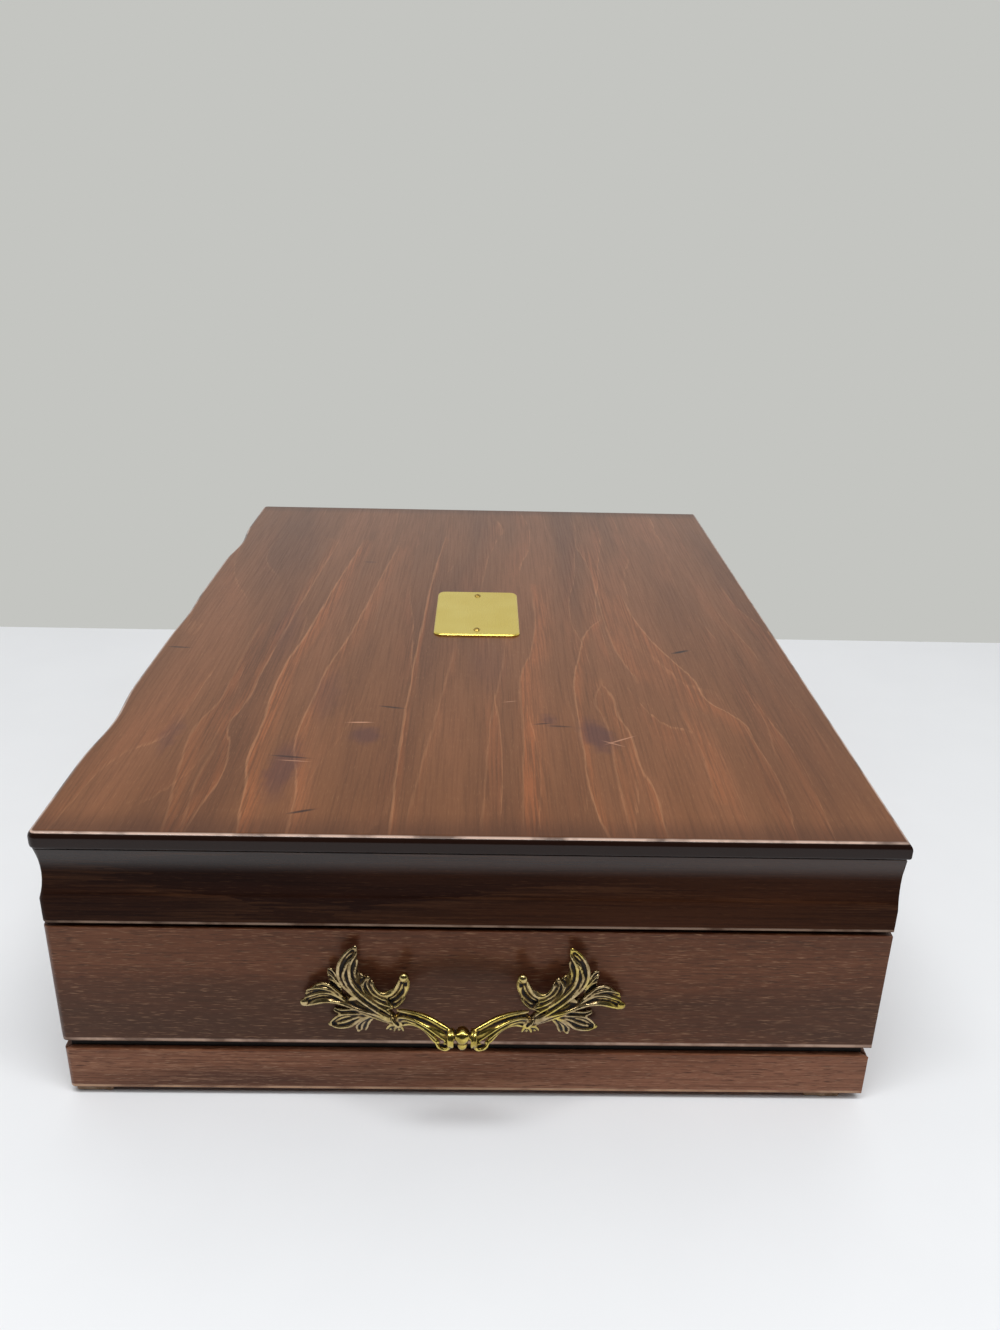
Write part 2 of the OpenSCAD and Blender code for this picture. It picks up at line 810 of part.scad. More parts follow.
module lid_back_rail() {
    color(stain)
        difference() {
            translate([-lid_inner_x, back_y - rail_t, rail_z])
                cube([2 * lid_inner_x, rail_t, rail_h]);
            hinge_screws_at(leaf_level(1), true, screw_play / 2);
        }
}

// The top board's edge from below up, as [outwards, z]
nose_profile = concat(
    [for (i = [0 : round_steps])
        let (a = 90 * i / round_steps)
        [nose_out - nose_low_r * (1 - sin(a)), top_z + nose_low_r * (1 - cos(a))]],
    [for (i = [0 : round_steps])
        let (a = 90 * i / round_steps)
        [nose_out - nose_top_r * (1 - cos(a)), lid_top - nose_top_r * (1 - sin(a))]]
);

function plate_screw_x(side) = plate_shift + side * plate_screw_pitch / 2;
plate_hole_r = plate_screw_r + screw_play / 3;

module lid_top_board() {
    color(stain_top)
        difference() {
            loft([
                for (q = nose_profile)
                    [for (p = whole_outline(q.x, q.x - nose_out + top_back_out)) [p.x, p.y, q.y]]
            ]);
            for (side = [-1, 1])
                translate([plate_screw_x(side), middle_y, lid_top - plate_screw_depth - screw_play])
                    cylinder(h = plate_screw_depth + screw_play + past, r = plate_hole_r);
        }
}

module lid_lining() {
    color(cloth)
        translate([0, 0, top_z])
            mirror([0, 0, 1])
                lining_tray(
                    lid_inner_x - lining_gap, lid_inner_front + lining_gap,
                    lid_inner_back - lining_gap, rail_h - lining_drop
                );
}

module knife_bar(y) {
    half = lid_inner_x - lining_gap - lining_t - bar_play;
    color(cloth)
        translate([0, y, lid_ceiling])
            mirror([0, 0, 1])
                notched_bar(
                    -half, half, knife_bar_t, knife_bar_h,
                    knife_count, knife_slot_w, knife_slot_d
                );
}

module knife_bar_front() {
    knife_bar(middle_y - knife_bar_y);
}

module knife_bar_back() {
    knife_bar(middle_y + knife_bar_y);
}

// ---- Name plate ----

// Rounded rectangle, counter-clockwise, drawn in by inset
function plate_outline(inset) = [
    for (q = [[1, -1, -90], [1, 1, 0], [-1, 1, 90], [-1, -1, 180]])
        for (i = [0 : 2 * round_steps])
            let (a = q[2] + 90 * i / (2 * round_steps))
            [q[0] * (plate_l / 2 - plate_r), q[1] * (plate_w / 2 - plate_r)]
            + (plate_r - inset) * [cos(a), sin(a)]
];

module name_plate() {
    color(brass)
        translate([plate_shift, middle_y, lid_top])
            difference() {
                loft([
                    for (q = [[0, 0], [0, plate_t / 2], [plate_bevel, plate_t]])
                        [for (p = plate_outline(q[0])) [p.x, p.y, q[1]]]
                ]);
                for (side = [-1, 1])
                    translate([side * plate_screw_pitch / 2, 0, -past])
                        cylinder(h = plate_t + 2 * past, r = plate_hole_r);
            }
}

module name_plate_screws() {
    dome_r = (pow(plate_head_r, 2) + pow(plate_head_h, 2)) / (2 * plate_head_h);
    color(brass)
        for (side = [-1, 1])
            translate([plate_screw_x(side), middle_y, lid_top + plate_t]) {
                translate([0, 0, -plate_t - plate_screw_depth])
                    cylinder(h = plate_t + plate_screw_depth + hair, r = plate_screw_r);
                intersection() {
                    translate([0, 0, plate_head_h - dome_r]) sphere(r = dome_r);
                    cylinder(h = plate_head_h, r = plate_head_r);
                }
            }
}

front_board();
back_board();
left_board();
right_board();
bottom_panel();
plinth_front();
plinth_back();
plinth_left();
plinth_right();
foot_pads();
base_lining();
compartment_divider();
flatware_bar_front();
flatware_bar_back();
right_handle();
left_handle();
handle_screws();
base_hinge_leaves();
hinge_pins();
base_hinge_screws();
lid_bumpers();
lid_top_board();
lid_front_rail();
lid_back_rail();
lid_left_rail();
lid_right_rail();
lid_lining();
knife_bar_front();
knife_bar_back();
name_plate();
name_plate_screws();
lid_hinge_leaves();
lid_hinge_screws();
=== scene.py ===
# Silverware chest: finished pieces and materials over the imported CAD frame.
# Metres; +X is the photographed end, -Y the serpentine front, +Y the hinged back, +Z up.
import math

import bmesh
import bpy
from mathutils import Euler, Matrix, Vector, noise


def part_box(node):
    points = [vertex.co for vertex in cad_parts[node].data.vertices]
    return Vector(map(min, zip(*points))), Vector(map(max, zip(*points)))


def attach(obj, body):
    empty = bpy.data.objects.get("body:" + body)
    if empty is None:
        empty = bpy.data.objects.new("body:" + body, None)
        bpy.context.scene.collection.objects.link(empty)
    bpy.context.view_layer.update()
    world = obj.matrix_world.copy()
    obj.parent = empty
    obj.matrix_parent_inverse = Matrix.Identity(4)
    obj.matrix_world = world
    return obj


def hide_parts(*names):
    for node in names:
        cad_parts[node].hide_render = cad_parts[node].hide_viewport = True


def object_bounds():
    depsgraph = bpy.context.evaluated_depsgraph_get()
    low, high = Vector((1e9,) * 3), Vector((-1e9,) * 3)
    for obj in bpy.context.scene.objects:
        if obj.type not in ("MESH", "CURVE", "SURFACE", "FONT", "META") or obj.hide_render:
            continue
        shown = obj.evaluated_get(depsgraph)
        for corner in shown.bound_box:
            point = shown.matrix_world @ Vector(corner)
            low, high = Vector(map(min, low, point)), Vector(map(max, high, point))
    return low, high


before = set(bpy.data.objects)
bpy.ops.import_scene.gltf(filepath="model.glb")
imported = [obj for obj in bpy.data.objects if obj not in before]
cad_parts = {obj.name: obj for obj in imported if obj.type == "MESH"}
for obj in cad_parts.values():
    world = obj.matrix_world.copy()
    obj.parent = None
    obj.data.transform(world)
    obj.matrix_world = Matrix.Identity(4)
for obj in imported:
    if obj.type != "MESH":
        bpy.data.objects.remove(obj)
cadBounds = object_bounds()
mm = 0.001
perMetre = 1000.0         # object coordinates times this are millimetres
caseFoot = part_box("right_board")[0].z
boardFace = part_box("right_board")[1].x     # outer face of the right end board
middleY = (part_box("front_board")[0].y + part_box("back_board")[1].y) / 2
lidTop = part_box("lid_top_board")[1].z
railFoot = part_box("lid_right_rail")[0].z * perMetre


def hexColour(text):      # sRGB #RRGGBB to the linear colour that a node takes
    parts = [int(text[i:i + 2], 16) / 255 for i in (1, 3, 5)]
    return [p / 12.92 if p <= 0.04045 else ((p + 0.055) / 1.055) ** 2.4 for p in parts] + [1.0]


# Adds one node. kind is its type's name, settings are its properties, stops its colour ramp's
# (position, hex) pairs and bend its curve's points. Every other word is an input: its name with
# _ for a space, or i and its number. A node given as a value is linked by the first of its
# outputs that is in use.
def addNode(tree, kind, settings=None, stops=None, bend=None, **inputs):
    made = tree.nodes.new("ShaderNode" + kind)
    for key, value in (settings or {}).items():
        setattr(made, key, value)
    if stops:
        points = made.color_ramp.elements
        while len(points) < len(stops):
            points.new(0.5)
        for point, (position, colour) in zip(points, stops):
            point.position, point.color = position, hexColour(colour)
    if bend:
        points = made.mapping.curves[0].points
        while len(points) < len(bend):
            points.new(0.5, 0.5)
        for point, where in zip(points, bend):
            point.location = where
        made.mapping.extend = "HORIZONTAL"
        made.mapping.update()
    for key, value in inputs.items():
        number = key[0] == "i" and key[1:].isdigit()
        socket = made.inputs[int(key[1:]) if number else key.replace("_", " ")]
        if isinstance(value, bpy.types.Node):
            value = next(output for output in value.outputs if output.enabled)
        if isinstance(value, bpy.types.NodeSocket):
            tree.links.new(value, socket)
        elif isinstance(value, str):
            socket.default_value = hexColour(value)
        else:
            socket.default_value = value
    return made


# settings that many nodes share
eased = {"interpolation_type": "SMOOTHSTEP"}
tinted = {"data_type": "RGBA"}
darkened = {"data_type": "RGBA", "blend_type": "MULTIPLY"}
times = {"operation": "MULTIPLY"}
timesPlus = {"operation": "MULTIPLY_ADD"}


def newMaterial(name):    # gives the material, its tree, its shader and the place in millimetres
    made = bpy.data.materials.new(name)
    made.use_nodes = True
    tree = made.node_tree
    coordinates = addNode(tree, "TexCoord")
    place = addNode(tree, "VectorMath", {"operation": "SCALE"}, i0=coordinates.outputs["Object"],
                    Scale=perMetre)
    return made, tree, tree.nodes["Principled BSDF"], place


def setShader(tree, shader, **inputs):     # values and links for the shader's own sockets
    for key, value in inputs.items():
        socket = shader.inputs[key.replace("_", " ")]
        if isinstance(value, bpy.types.Node):
            tree.links.new(next(output for output in value.outputs if output.enabled), socket)
        else:
            socket.default_value = hexColour(value) if isinstance(value, str) else value


def deselectAll():
    if bpy.context.mode != "OBJECT":
        bpy.ops.object.mode_set(mode="OBJECT")
    bpy.ops.object.select_all(action="DESELECT")


def work(piece):          # the one selected and active object
    deselectAll()
    piece.select_set(True)
    bpy.context.view_layer.objects.active = piece
    return piece


def takeNew(name):        # the primitive that was just added, with its place put into its mesh
    piece = work(bpy.context.object)
    piece.name = piece.data.name = name
    bpy.ops.object.transform_apply(location=True, rotation=True, scale=True)
    return piece


def applyModifier(piece, kind, **settings):
    work(piece)
    modifier = piece.modifiers.new(kind.lower(), kind)
    for key, value in settings.items():
        setattr(modifier, key, value)
    bpy.ops.object.modifier_apply(modifier=modifier.name)
    return piece


def joinAll(pieces, name):
    work(pieces[0])
    for piece in pieces:
        piece.select_set(True)
    if len(pieces) > 1:
        bpy.ops.object.join()
    pieces[0].name = pieces[0].data.name = name
    return pieces[0]


def turnOutwards(piece, merge=1e-6):
    work(piece)
    bpy.ops.object.mode_set(mode="EDIT")
    bpy.ops.mesh.select_all(action="SELECT")
    bpy.ops.mesh.remove_doubles(threshold=merge)
    bpy.ops.mesh.normals_make_consistent(inside=False)
    bpy.ops.object.mode_set(mode="OBJECT")
    return piece


# A CAD node's mesh as a new piece, merged and with whole flat faces
def copyNode(node, name):
    piece = bpy.data.objects.new(name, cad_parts[node].data.copy())
    piece.data.name = name
    bpy.context.scene.collection.objects.link(piece)
    piece.data.materials.clear()
    work(piece)
    if piece.data.has_custom_normals:
        bpy.ops.mesh.customdata_custom_splitnormals_clear()
    bpy.ops.object.mode_set(mode="EDIT")
    bpy.ops.mesh.select_all(action="SELECT")
    bpy.ops.mesh.remove_doubles(threshold=1e-6)
    bpy.ops.mesh.dissolve_limited(angle_limit=math.radians(0.3))
    bpy.ops.mesh.select_all(action="DESELECT")
    bpy.ops.object.mode_set(mode="OBJECT")
    return piece


# Bevels the edges sharper than the given degrees that pass keep; the bevel takes slot worn
def softenEdges(piece, width, steps=2, sharp=30, worn=-1, keep=None):
    work(piece)
    bpy.ops.object.mode_set(mode="EDIT")
    bpy.ops.mesh.select_mode(type="EDGE")
    mesh = bmesh.from_edit_mesh(piece.data)
    for edge in mesh.edges:
        angle = edge.calc_face_angle(0)
        edge.select_set(angle > math.radians(sharp) and (keep is None or keep(edge)))
    bmesh.update_edit_mesh(piece.data)
    bpy.ops.mesh.bevel(offset=width, segments=steps, profile=0.5, affect="EDGES",
                       clamp_overlap=True, material=worn)
    bpy.ops.mesh.select_all(action="DESELECT")
    bpy.ops.mesh.select_mode(type="VERT")
    bpy.ops.object.mode_set(mode="OBJECT")
    return piece


def smooth(piece, degrees=35, weighted=True):
    work(piece)
    bpy.ops.object.shade_smooth_by_angle(angle=math.radians(degrees))
    if weighted:          # large flat faces keep their shading flat
        applyModifier(piece, "WEIGHTED_NORMAL", keep_sharp=True)
    return piece


def settle(piece, body, materials, nodes):   # materials, body, CAD nodes
    for material in materials:
        piece.data.materials.append(material)
    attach(piece, body)
    if nodes:
        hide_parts(*nodes)
    return piece


view = {
    "place": (497.83 * mm, -0.17 * mm, 292.43 * mm),
    "turn": (67.064, -1.237, 89.403),      # degrees
    "lens": 29.675,                        # on a 36 mm sensor along the picture's tall side
}
cameraData = bpy.data.cameras.new("camera")
cameraData.lens = view["lens"]
cameraData.sensor_width = 36
camera = bpy.data.objects.new("camera", cameraData)
camera.location = view["place"]
camera.rotation_euler = Euler([math.radians(turn) for turn in view["turn"]])
bpy.context.scene.collection.objects.link(camera)
bpy.context.scene.camera = camera
bpy.context.scene.view_settings.view_transform = "Standard"

studio = {
    "wall": "#C4C5C1",        # pale painted wall beyond the table
    "light": "#F6F6F4",
    "wallLevel": 0.72,        # how brightly the wall's side lights the chest
    "roomLevel": 0.05,        # and the dim room on the camera's side
    "ceilingLevel": 0.5,
    "table": "#E9EBEE",
    "tableSpan": ((-250, 1000), (-1000, 1000)),   # mm along X and Y
    "lamps": (
        # name, place, aimed at, size, watts, seen in gloss
        ("ceilingStrip", (0.5, 0.0, 1.4), (0.4, 0.0, 0.0), (1.4, 0.2), 9.5, True),
        ("ceilingFill", (0.8, 0.0, 1.6), (0.6, 0.0, 0.0), (1.4, 1.0), 14.0, False),
    ),
}


def buildStudio(values):
    world = bpy.data.worlds.new("room")
    bpy.context.scene.world = world
    world.use_nodes = True
    tree = world.node_tree
    tree.nodes.clear()
    # the light comes from the wall's side and from above; the room behind the camera is dim
    towards = addNode(tree, "TexCoord").outputs["Generated"]
    axes = addNode(tree, "SeparateXYZ", Vector=towards)
    side = addNode(tree, "MapRange", eased, Value=axes.outputs["X"], From_Min=-0.5, From_Max=0.6,
                   To_Min=values["wallLevel"], To_Max=values["roomLevel"])
    height = addNode(tree, "MapRange", eased, Value=axes.outputs["Z"], From_Min=0.7, From_Max=1.0)
    level = addNode(tree, "Mix", i0=height, i2=side, i3=values["ceilingLevel"])
    lit = addNode(tree, "Background", Color=values["light"], Strength=level)
    shown = addNode(tree, "Background", Color=values["wall"], Strength=1.0)
    rays = addNode(tree, "LightPath")
    mixed = addNode(tree, "MixShader", i0=rays.outputs["Is Camera Ray"], i1=lit, i2=shown)
    addNode(tree, "OutputWorld", Surface=mixed)

    for name, place, target, size, watts, glossy in values["lamps"]:
        data = bpy.data.lights.new(name, "AREA")
        data.shape, data.energy = "RECTANGLE", watts
        data.size, data.size_y = size
        lamp = bpy.data.objects.new(name, data)
        lamp.location = place
        lamp.visible_glossy = glossy
        lamp.rotation_euler = (Vector(target) - Vector(place)).to_track_quat("-Z", "Y").to_euler()
        bpy.context.scene.collection.objects.link(lamp)

    (left, right), (front, back) = values["tableSpan"]
    deselectAll()
    middle = ((left + right) / 2 * mm, (front + back) / 2 * mm, cadBounds[0][2] - 0.02 * mm)
    bpy.ops.mesh.primitive_plane_add(size=1, location=middle)
    bpy.ops.transform.resize(value=((right - left) * mm, (back - front) * mm, 1))
    floor = takeNew("table")
    # matt white laminate: an even pale top with the faintest mottling
    paint, tree, shader, place = newMaterial("matt_white_laminate")
    mottle = addNode(tree, "TexNoise", Vector=place, Scale=0.02, Detail=3.0)
    white = addNode(tree, "ValToRGB", stops=((0.3, "#E7E9EC"), (0.7, values["table"])), Fac=mottle)
    setShader(tree, shader, Base_Color=white, Roughness=0.6)
    floor.data.materials.append(paint)


buildStudio(studio)
print("stage: camera, light and table")

# Mahogany-stained, flat-sawn hardwood under satin lacquer. The eye sees wide, wandering growth
# bands that each end in a thin pale line, orange streaks of fibre inside them, short dark pores,
# and a soft shine that is sharper over the lacquer than in the wood.
wood = {
    # noises stretched along the grain: mm along, mm across, detail
    "noises": {
        "cloud": (240, 26, 2.0),      # dark and light ground
        "patch": (90, 26, 2.0),       # where the figure shows
        "swell": (230, 66, 1.5),      # how the growth bands wander
        "fibre": (30, 0.8, 4.0),      # streaks of fibre
        "fray": (18, 1.2, 2.0),       # ragged edges of the bands
        "pore": (5.0, 0.42, 2.0),     # real pores are finer, drawn so that they show
        "glint": (4.4, 0.30, 2.0),    # pale flecks between the pores, as coarse
    },
    "seedShift": (137, 11, 5),        # mm that one unit of a board's seed shifts its grain
    "jag": 0.75,              # mm by which the fibres fray a band's edge
    "coatRoughness": 0.16,
    "sheenTint": "#C08A6A",
    "sprayed": "#40200F", "edgeShade": "#1E0F0A",    # the lid's sprayed ends, and painted shade on its rounded edge
    # tones: dark, middle and light ground, orange streak, pale band line
    # band: mm between growth lines; slope, wander: how they cross the board and stray;
    # figure: how strongly they show; fibres, pores, coat, sheen, spray: strengths
    # end: half length in mm up to the sprayed end; edge: height under which the rounded edge is
    # painted nearly black as shade; glossFrom: height under which the coat is rubbed dull
    # and pale lines along arrises, as height, half width, colour: on the lid a painted highlight
    # along its nose, elsewhere arrises worn pale
    "lid": {
        "tones": ("#623A1E", "#704526", "#7A4C2D", "#94522C", "#B8875E"),
        "band": 15.0, "slope": 0.85, "wander": 34, "figure": 0.3, "fibres": 0.3, "pores": 0.4,
        "coat": 0.5, "sheen": 0.06, "rough": 0.46, "spray": 0.55,
        "end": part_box("lid_top_board")[1].x * perMetre, "edge": lidTop * perMetre,
        # the pale line along the nose is a painted highlight
        "glossFrom": None, "wearAndHighlight": ((lidTop * perMetre - 0.4, 0.3, "#C9AC9C"),),
    },
    "rail": {
        # the rails carry the case's wood in darker tones: painted shade under the lid's overhanging
        # nose
        "tones": ("#22100A", "#341B0E", "#3E2214", "#56341E", "#6A4830"),
        "band": 9.0, "slope": 1.0, "wander": 6, "figure": 0.15, "fibres": 0.4, "pores": 0.4,
        "coat": 0.9, "sheen": 0.03, "rough": 0.46, "edge": None, "glossFrom": 95,
        "wearAndHighlight": ((railFoot + 0.7, 0.6, "#8C7464"),),
    },
    "case": {
        "tones": ("#2E1810", "#502B1B", "#5F3825", "#905C40", "#B48C6C"),
        "band": 7.0, "slope": 1.0, "wander": 6, "figure": 0.3, "fibres": 0.6, "pores": 1.0,
        "coat": 0.12, "sheen": 1.0, "rough": 0.37, "edge": None, "glossFrom": None,
        "wearAndHighlight": ((caseFoot * perMetre + 0.8, 0.75, "#B89C8A"),),
    },
    "plinth": {
        "tones": ("#4A2A1E", "#774B36", "#885A44", "#AC7A58", "#C49E80"),
        "band": 8.0, "slope": 1.0, "wander": 6, "figure": 0.3, "fibres": 0.6, "pores": 1.0,
        "coat": 0.12, "sheen": 0.8, "rough": 0.42, "edge": None, "glossFrom": None,
        "wearAndHighlight": ((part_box("plinth_right")[0].z * perMetre + 0.8, 0.7, "#B89478"),),
    },
}

# The lid board's growth lines, drawn one by one: strength of the pale line, strength and mm of the
# orange beside it (+ towards the back), and places (x, y) in mm from the right end to the left
lidFigure = {
    "span": (400, 280),       # mm of the board
    "half": 0.7,              # mm, half the width of a pale line
    "pale": "#B8825A", "orange": "#AA5E2F",
    "level": (0.38, 0.45),    # how far the pale lines and the orange are mixed in
    "lines": (
        (0.45, 0.40, 8, ((200, -100), (181, -102), (155, -105.5), (123, -107.5), (103, -104),
            (75, -104), (20, -104))),
        (0.35, 0.25, 4, ((200, -94), (185, -95.3), (166, -97), (144, -96.5))),
        (0.60, 0.50, -6, ((200, -93), (182, -91.5), (161, -89.2), (140, -91.4), (120, -95.6),
            (105, -93.2), (75, -92.5), (40, -91.7), (-40, -88), (-120, -84))),
        (0.85, 0.85, 9, ((200, -76), (191, -77.3), (166, -80), (149, -82.7), (126, -82.8),
            (96, -83.8), (62, -83.9), (34, -81.1), (-40, -76), (-120, -70))),
        (0.70, 0.50, 8, ((200, -60.5), (191, -60.9), (172, -62.1), (135, -68), (123, -68.2),
            (95, -66.9), (64, -65.4), (33, -60.9), (-50, -54), (-110, -49))),
        (0.75, 0.55, 3, ((200, -28.2), (158, -28.9), (128, -29.4), (92, -29.1), (32, -28.3),
            (-60, -26), (-130, -22))),
        (0.35, 0.20, 4, ((190, -23), (177, -22.3), (143, -19.7), (102, -16.2), (48, -12.2))),
        (0.40, 0.70, 12, ((195, 15), (179, 15), (127, 16.6), (65, 17.9), (45, 22.4), (-44, 25.6))),
        (0.80, 0.60, 5, ((200, 42), (193, 40.7), (171, 38.3), (138, 38.5), (116, 38.5), (88, 38.9),
            (70, 40.2), (47, 43.8), (18, 49.5), (2, 57.5))),
        (0.55, 0.50, 10, ((70, 66), (57, 63.1), (25, 59.9), (-2, 59.1), (-37, 59.4), (-70, 59.3),
            (-120, 55))),
        (0.80, 0.60, -14, ((118, 104), (107, 100.2), (95, 93.2), (71, 90.1), (35, 80.3), (9, 75.5),
            (-30, 72))),
        (0.50, 0.30, 4, ((190, 49.3), (154, 48.7), (138, 49.3), (113, 48.5), (97, 46.5),
            (80, 50.3))),
        (0.75, 0.45, -6, ((200, 61), (189, 60.7), (172, 60.7), (149, 57.7), (125, 57.3),
            (110, 54.6), (88, 53.4), (79, 50.9))),
        (0.40, 0.20, 4, ((190, 1.2), (178, 1.8), (146, 2.8), (112, 4.5), (75, 8.3), (20, 12))),
        (0.35, 0.25, 5, ((141, 108.5), (113, 111.6), (83, 110.2))),
        (0.30, 0.55, 11, ((170, 80), (140, 82), (110, 80))),
    ),
}

# Marks on the lid, in mm from the frame's origin: x, y, half length, half width, turn, strength
lidMarks = {
    "stain": ("#3E2029", (
        (129, -43, 8, 6, 0, 0.5), (156, -69, 22, 6, 0, 0.5), (126, 44, 15, 6.5, 10, 0.6),
        (114, 27, 6, 4, 0, 0.4), (131, -115, 16, 4, 0, 0.3), (92, -62, 26, 7, 0, 0.22),
        (20, -90, 40, 6, 3, 0.15), (60, 4, 30, 9, 0, 0.15),
    )),
    "dent": ("#22120E", (
        (41, 90, 1.1, 5.0, 28, 0.95), (44.6, -134, 0.8, 5.5, -4, 0.8), (185, -58, 0.8, 5, 20, 0.85),
        (104, -35, 0.8, 5.5, -12, 0.8), (147, -68, 0.7, 8, -8, 0.75), (119, 31, 0.8, 5, -4, 0.6),
        (-84, -62, 0.8, 4, 0, 0.7), (117, 24, 0.6, 3.5, 10, 0.7),
    )),
    "scratch": ("#C08C6E", (
        (118, -46, 0.5, 5, 2, 0.8), (130, 53, 0.45, 7, 32, 0.6), (150, -66, 0.4, 6, -5, 0.5),
        (133, 50, 0.4, 4.5, -30, 0.55), (97, 12, 0.4, 3, 14, 0.4),
    )),
}


# Gives how strongly the pale lines and the orange beside them show at each place
def addGrowthLines(tree, place, fray):
    (length, width), half = lidFigure["span"], lidFigure["half"]
    paleLevel, orangeLevel = lidFigure["level"]
    ragged = 2.4 * wood["jag"]
    axes = addNode(tree, "SeparateXYZ", Vector=place)
    along = addNode(tree, "Math", timesPlus, i0=axes.outputs["X"], i1=1 / length, i2=0.5)
    frayed = addNode(tree, "Math", timesPlus, i0=fray, i1=ragged, i2=axes.outputs["Y"])
    over = addNode(tree, "Math", timesPlus, i0=frayed, i1=1 / width, i2=0.5 - ragged / 2 / width)
    # in shares of the span: where each line runs, and how it fades in and out along the board
    lines = bands = None
    for strength, orange, reach, places in lidFigure["lines"]:
        points = sorted((x / length + 0.5, y / width + 0.5) for x, y in places)
        first, last = points[0][0], points[-1][0]
        middle = addNode(tree, "FloatCurve", bend=points, Value=along)
        fade = [(first - 0.02, 0.0), (first + 0.07, 1.0)]
        fade += [(last - 0.06, 1.0), (last + 0.02, 0.0)] if last < 0.99 else [(1.0, 1.0)]
        shown = addNode(tree, "FloatCurve", bend=fade, Value=along)
        off = addNode(tree, "Math", {"operation": "SUBTRACT"}, i0=over, i1=middle)
        near = addNode(tree, "Math", {"operation": "ABSOLUTE"}, i0=off)
        line = addNode(tree, "MapRange", eased, Value=near, From_Min=half / width,
                       From_Max=0.2 * half / width, To_Max=strength * paleLevel)
        side = math.copysign(0.5, reach) / width
        begins = addNode(tree, "MapRange", eased, Value=off, From_Min=-side, From_Max=side,
                         To_Max=orange * orangeLevel)
        ends = addNode(tree, "MapRange", eased, Value=off, From_Min=reach / width,
                       From_Max=0.1 * reach / width)
        band = addNode(tree, "Math", times, i0=begins, i1=ends)
        line = addNode(tree, "Math", times, i0=line, i1=shown)
        band = addNode(tree, "Math", times, i0=band, i1=shown)
        if lines:         # where two meet, the stronger one shows
            line = addNode(tree, "Math", {"operation": "MAXIMUM"}, i0=lines, i1=line)
            band = addNode(tree, "Math", {"operation": "MAXIMUM"}, i0=bands, i1=band)
        lines, bands = line, band
    return lines, bands


def addMarks(tree, place, body):      # stains have a wobbly outline, the others a clean one
    wobbleX, wobbleY = 9, 7   # mm
    wobble = addNode(tree, "TexNoise", Vector=place, Scale=0.16, Detail=3.0)
    bent = addNode(tree, "VectorMath", timesPlus, i0=wobble.outputs["Color"],
                   i1=(wobbleX, wobbleY, 0), i2=place)
    for kind, (tint, spots) in lidMarks.items():
        source, shiftX, shiftY = place, 0, 0
        if kind == "stain":
            source, shiftX, shiftY = bent, wobbleX / 2, wobbleY / 2
        for x, y, halfLong, halfWide, turn, strength in spots:
            spot = addNode(tree, "Mapping", {"vector_type": "TEXTURE"}, Vector=source,
                           Location=(x + shiftX, y + shiftY, lidTop * perMetre),
                           Rotation=(0, 0, math.radians(turn)), Scale=(halfLong, halfWide, 50))
            reach = addNode(tree, "VectorMath", {"operation": "LENGTH"}, i0=spot)
            share = addNode(tree, "MapRange", eased, Value=reach.outputs["Value"], From_Min=1.3,
                            From_Max=0.35, To_Max=strength)
            body = addNode(tree, "Mix", tinted, i0=share, i6=body, i7=tint)
    return body


# Painted shade on the end boards behind the grip, where the grip keeps the table's light and its
# reflection off the board: mm from the frame's origin
gripShade = {"middle": (0, middleY * perMetre - 2, caseFoot * perMetre + 31), "half": (1000, 23, 8),
            "colour": "#22110B", "strength": 0.62}


def addGripShade(tree, place, body):
    # paints that shade into the board's colour as a soft dark ellipse
    patch = addNode(tree, "Mapping", {"vector_type": "TEXTURE"}, Vector=place,
                    Location=gripShade["middle"], Scale=gripShade["half"])
    reach = addNode(tree, "VectorMath", {"operation": "LENGTH"}, i0=patch)
    share = addNode(tree, "MapRange", eased, Value=reach.outputs["Value"], From_Min=1.25,
                    From_Max=0.2, To_Max=gripShade["strength"])
    return addNode(tree, "Mix", tinted, i0=share, i6=body, i7=gripShade["colour"])


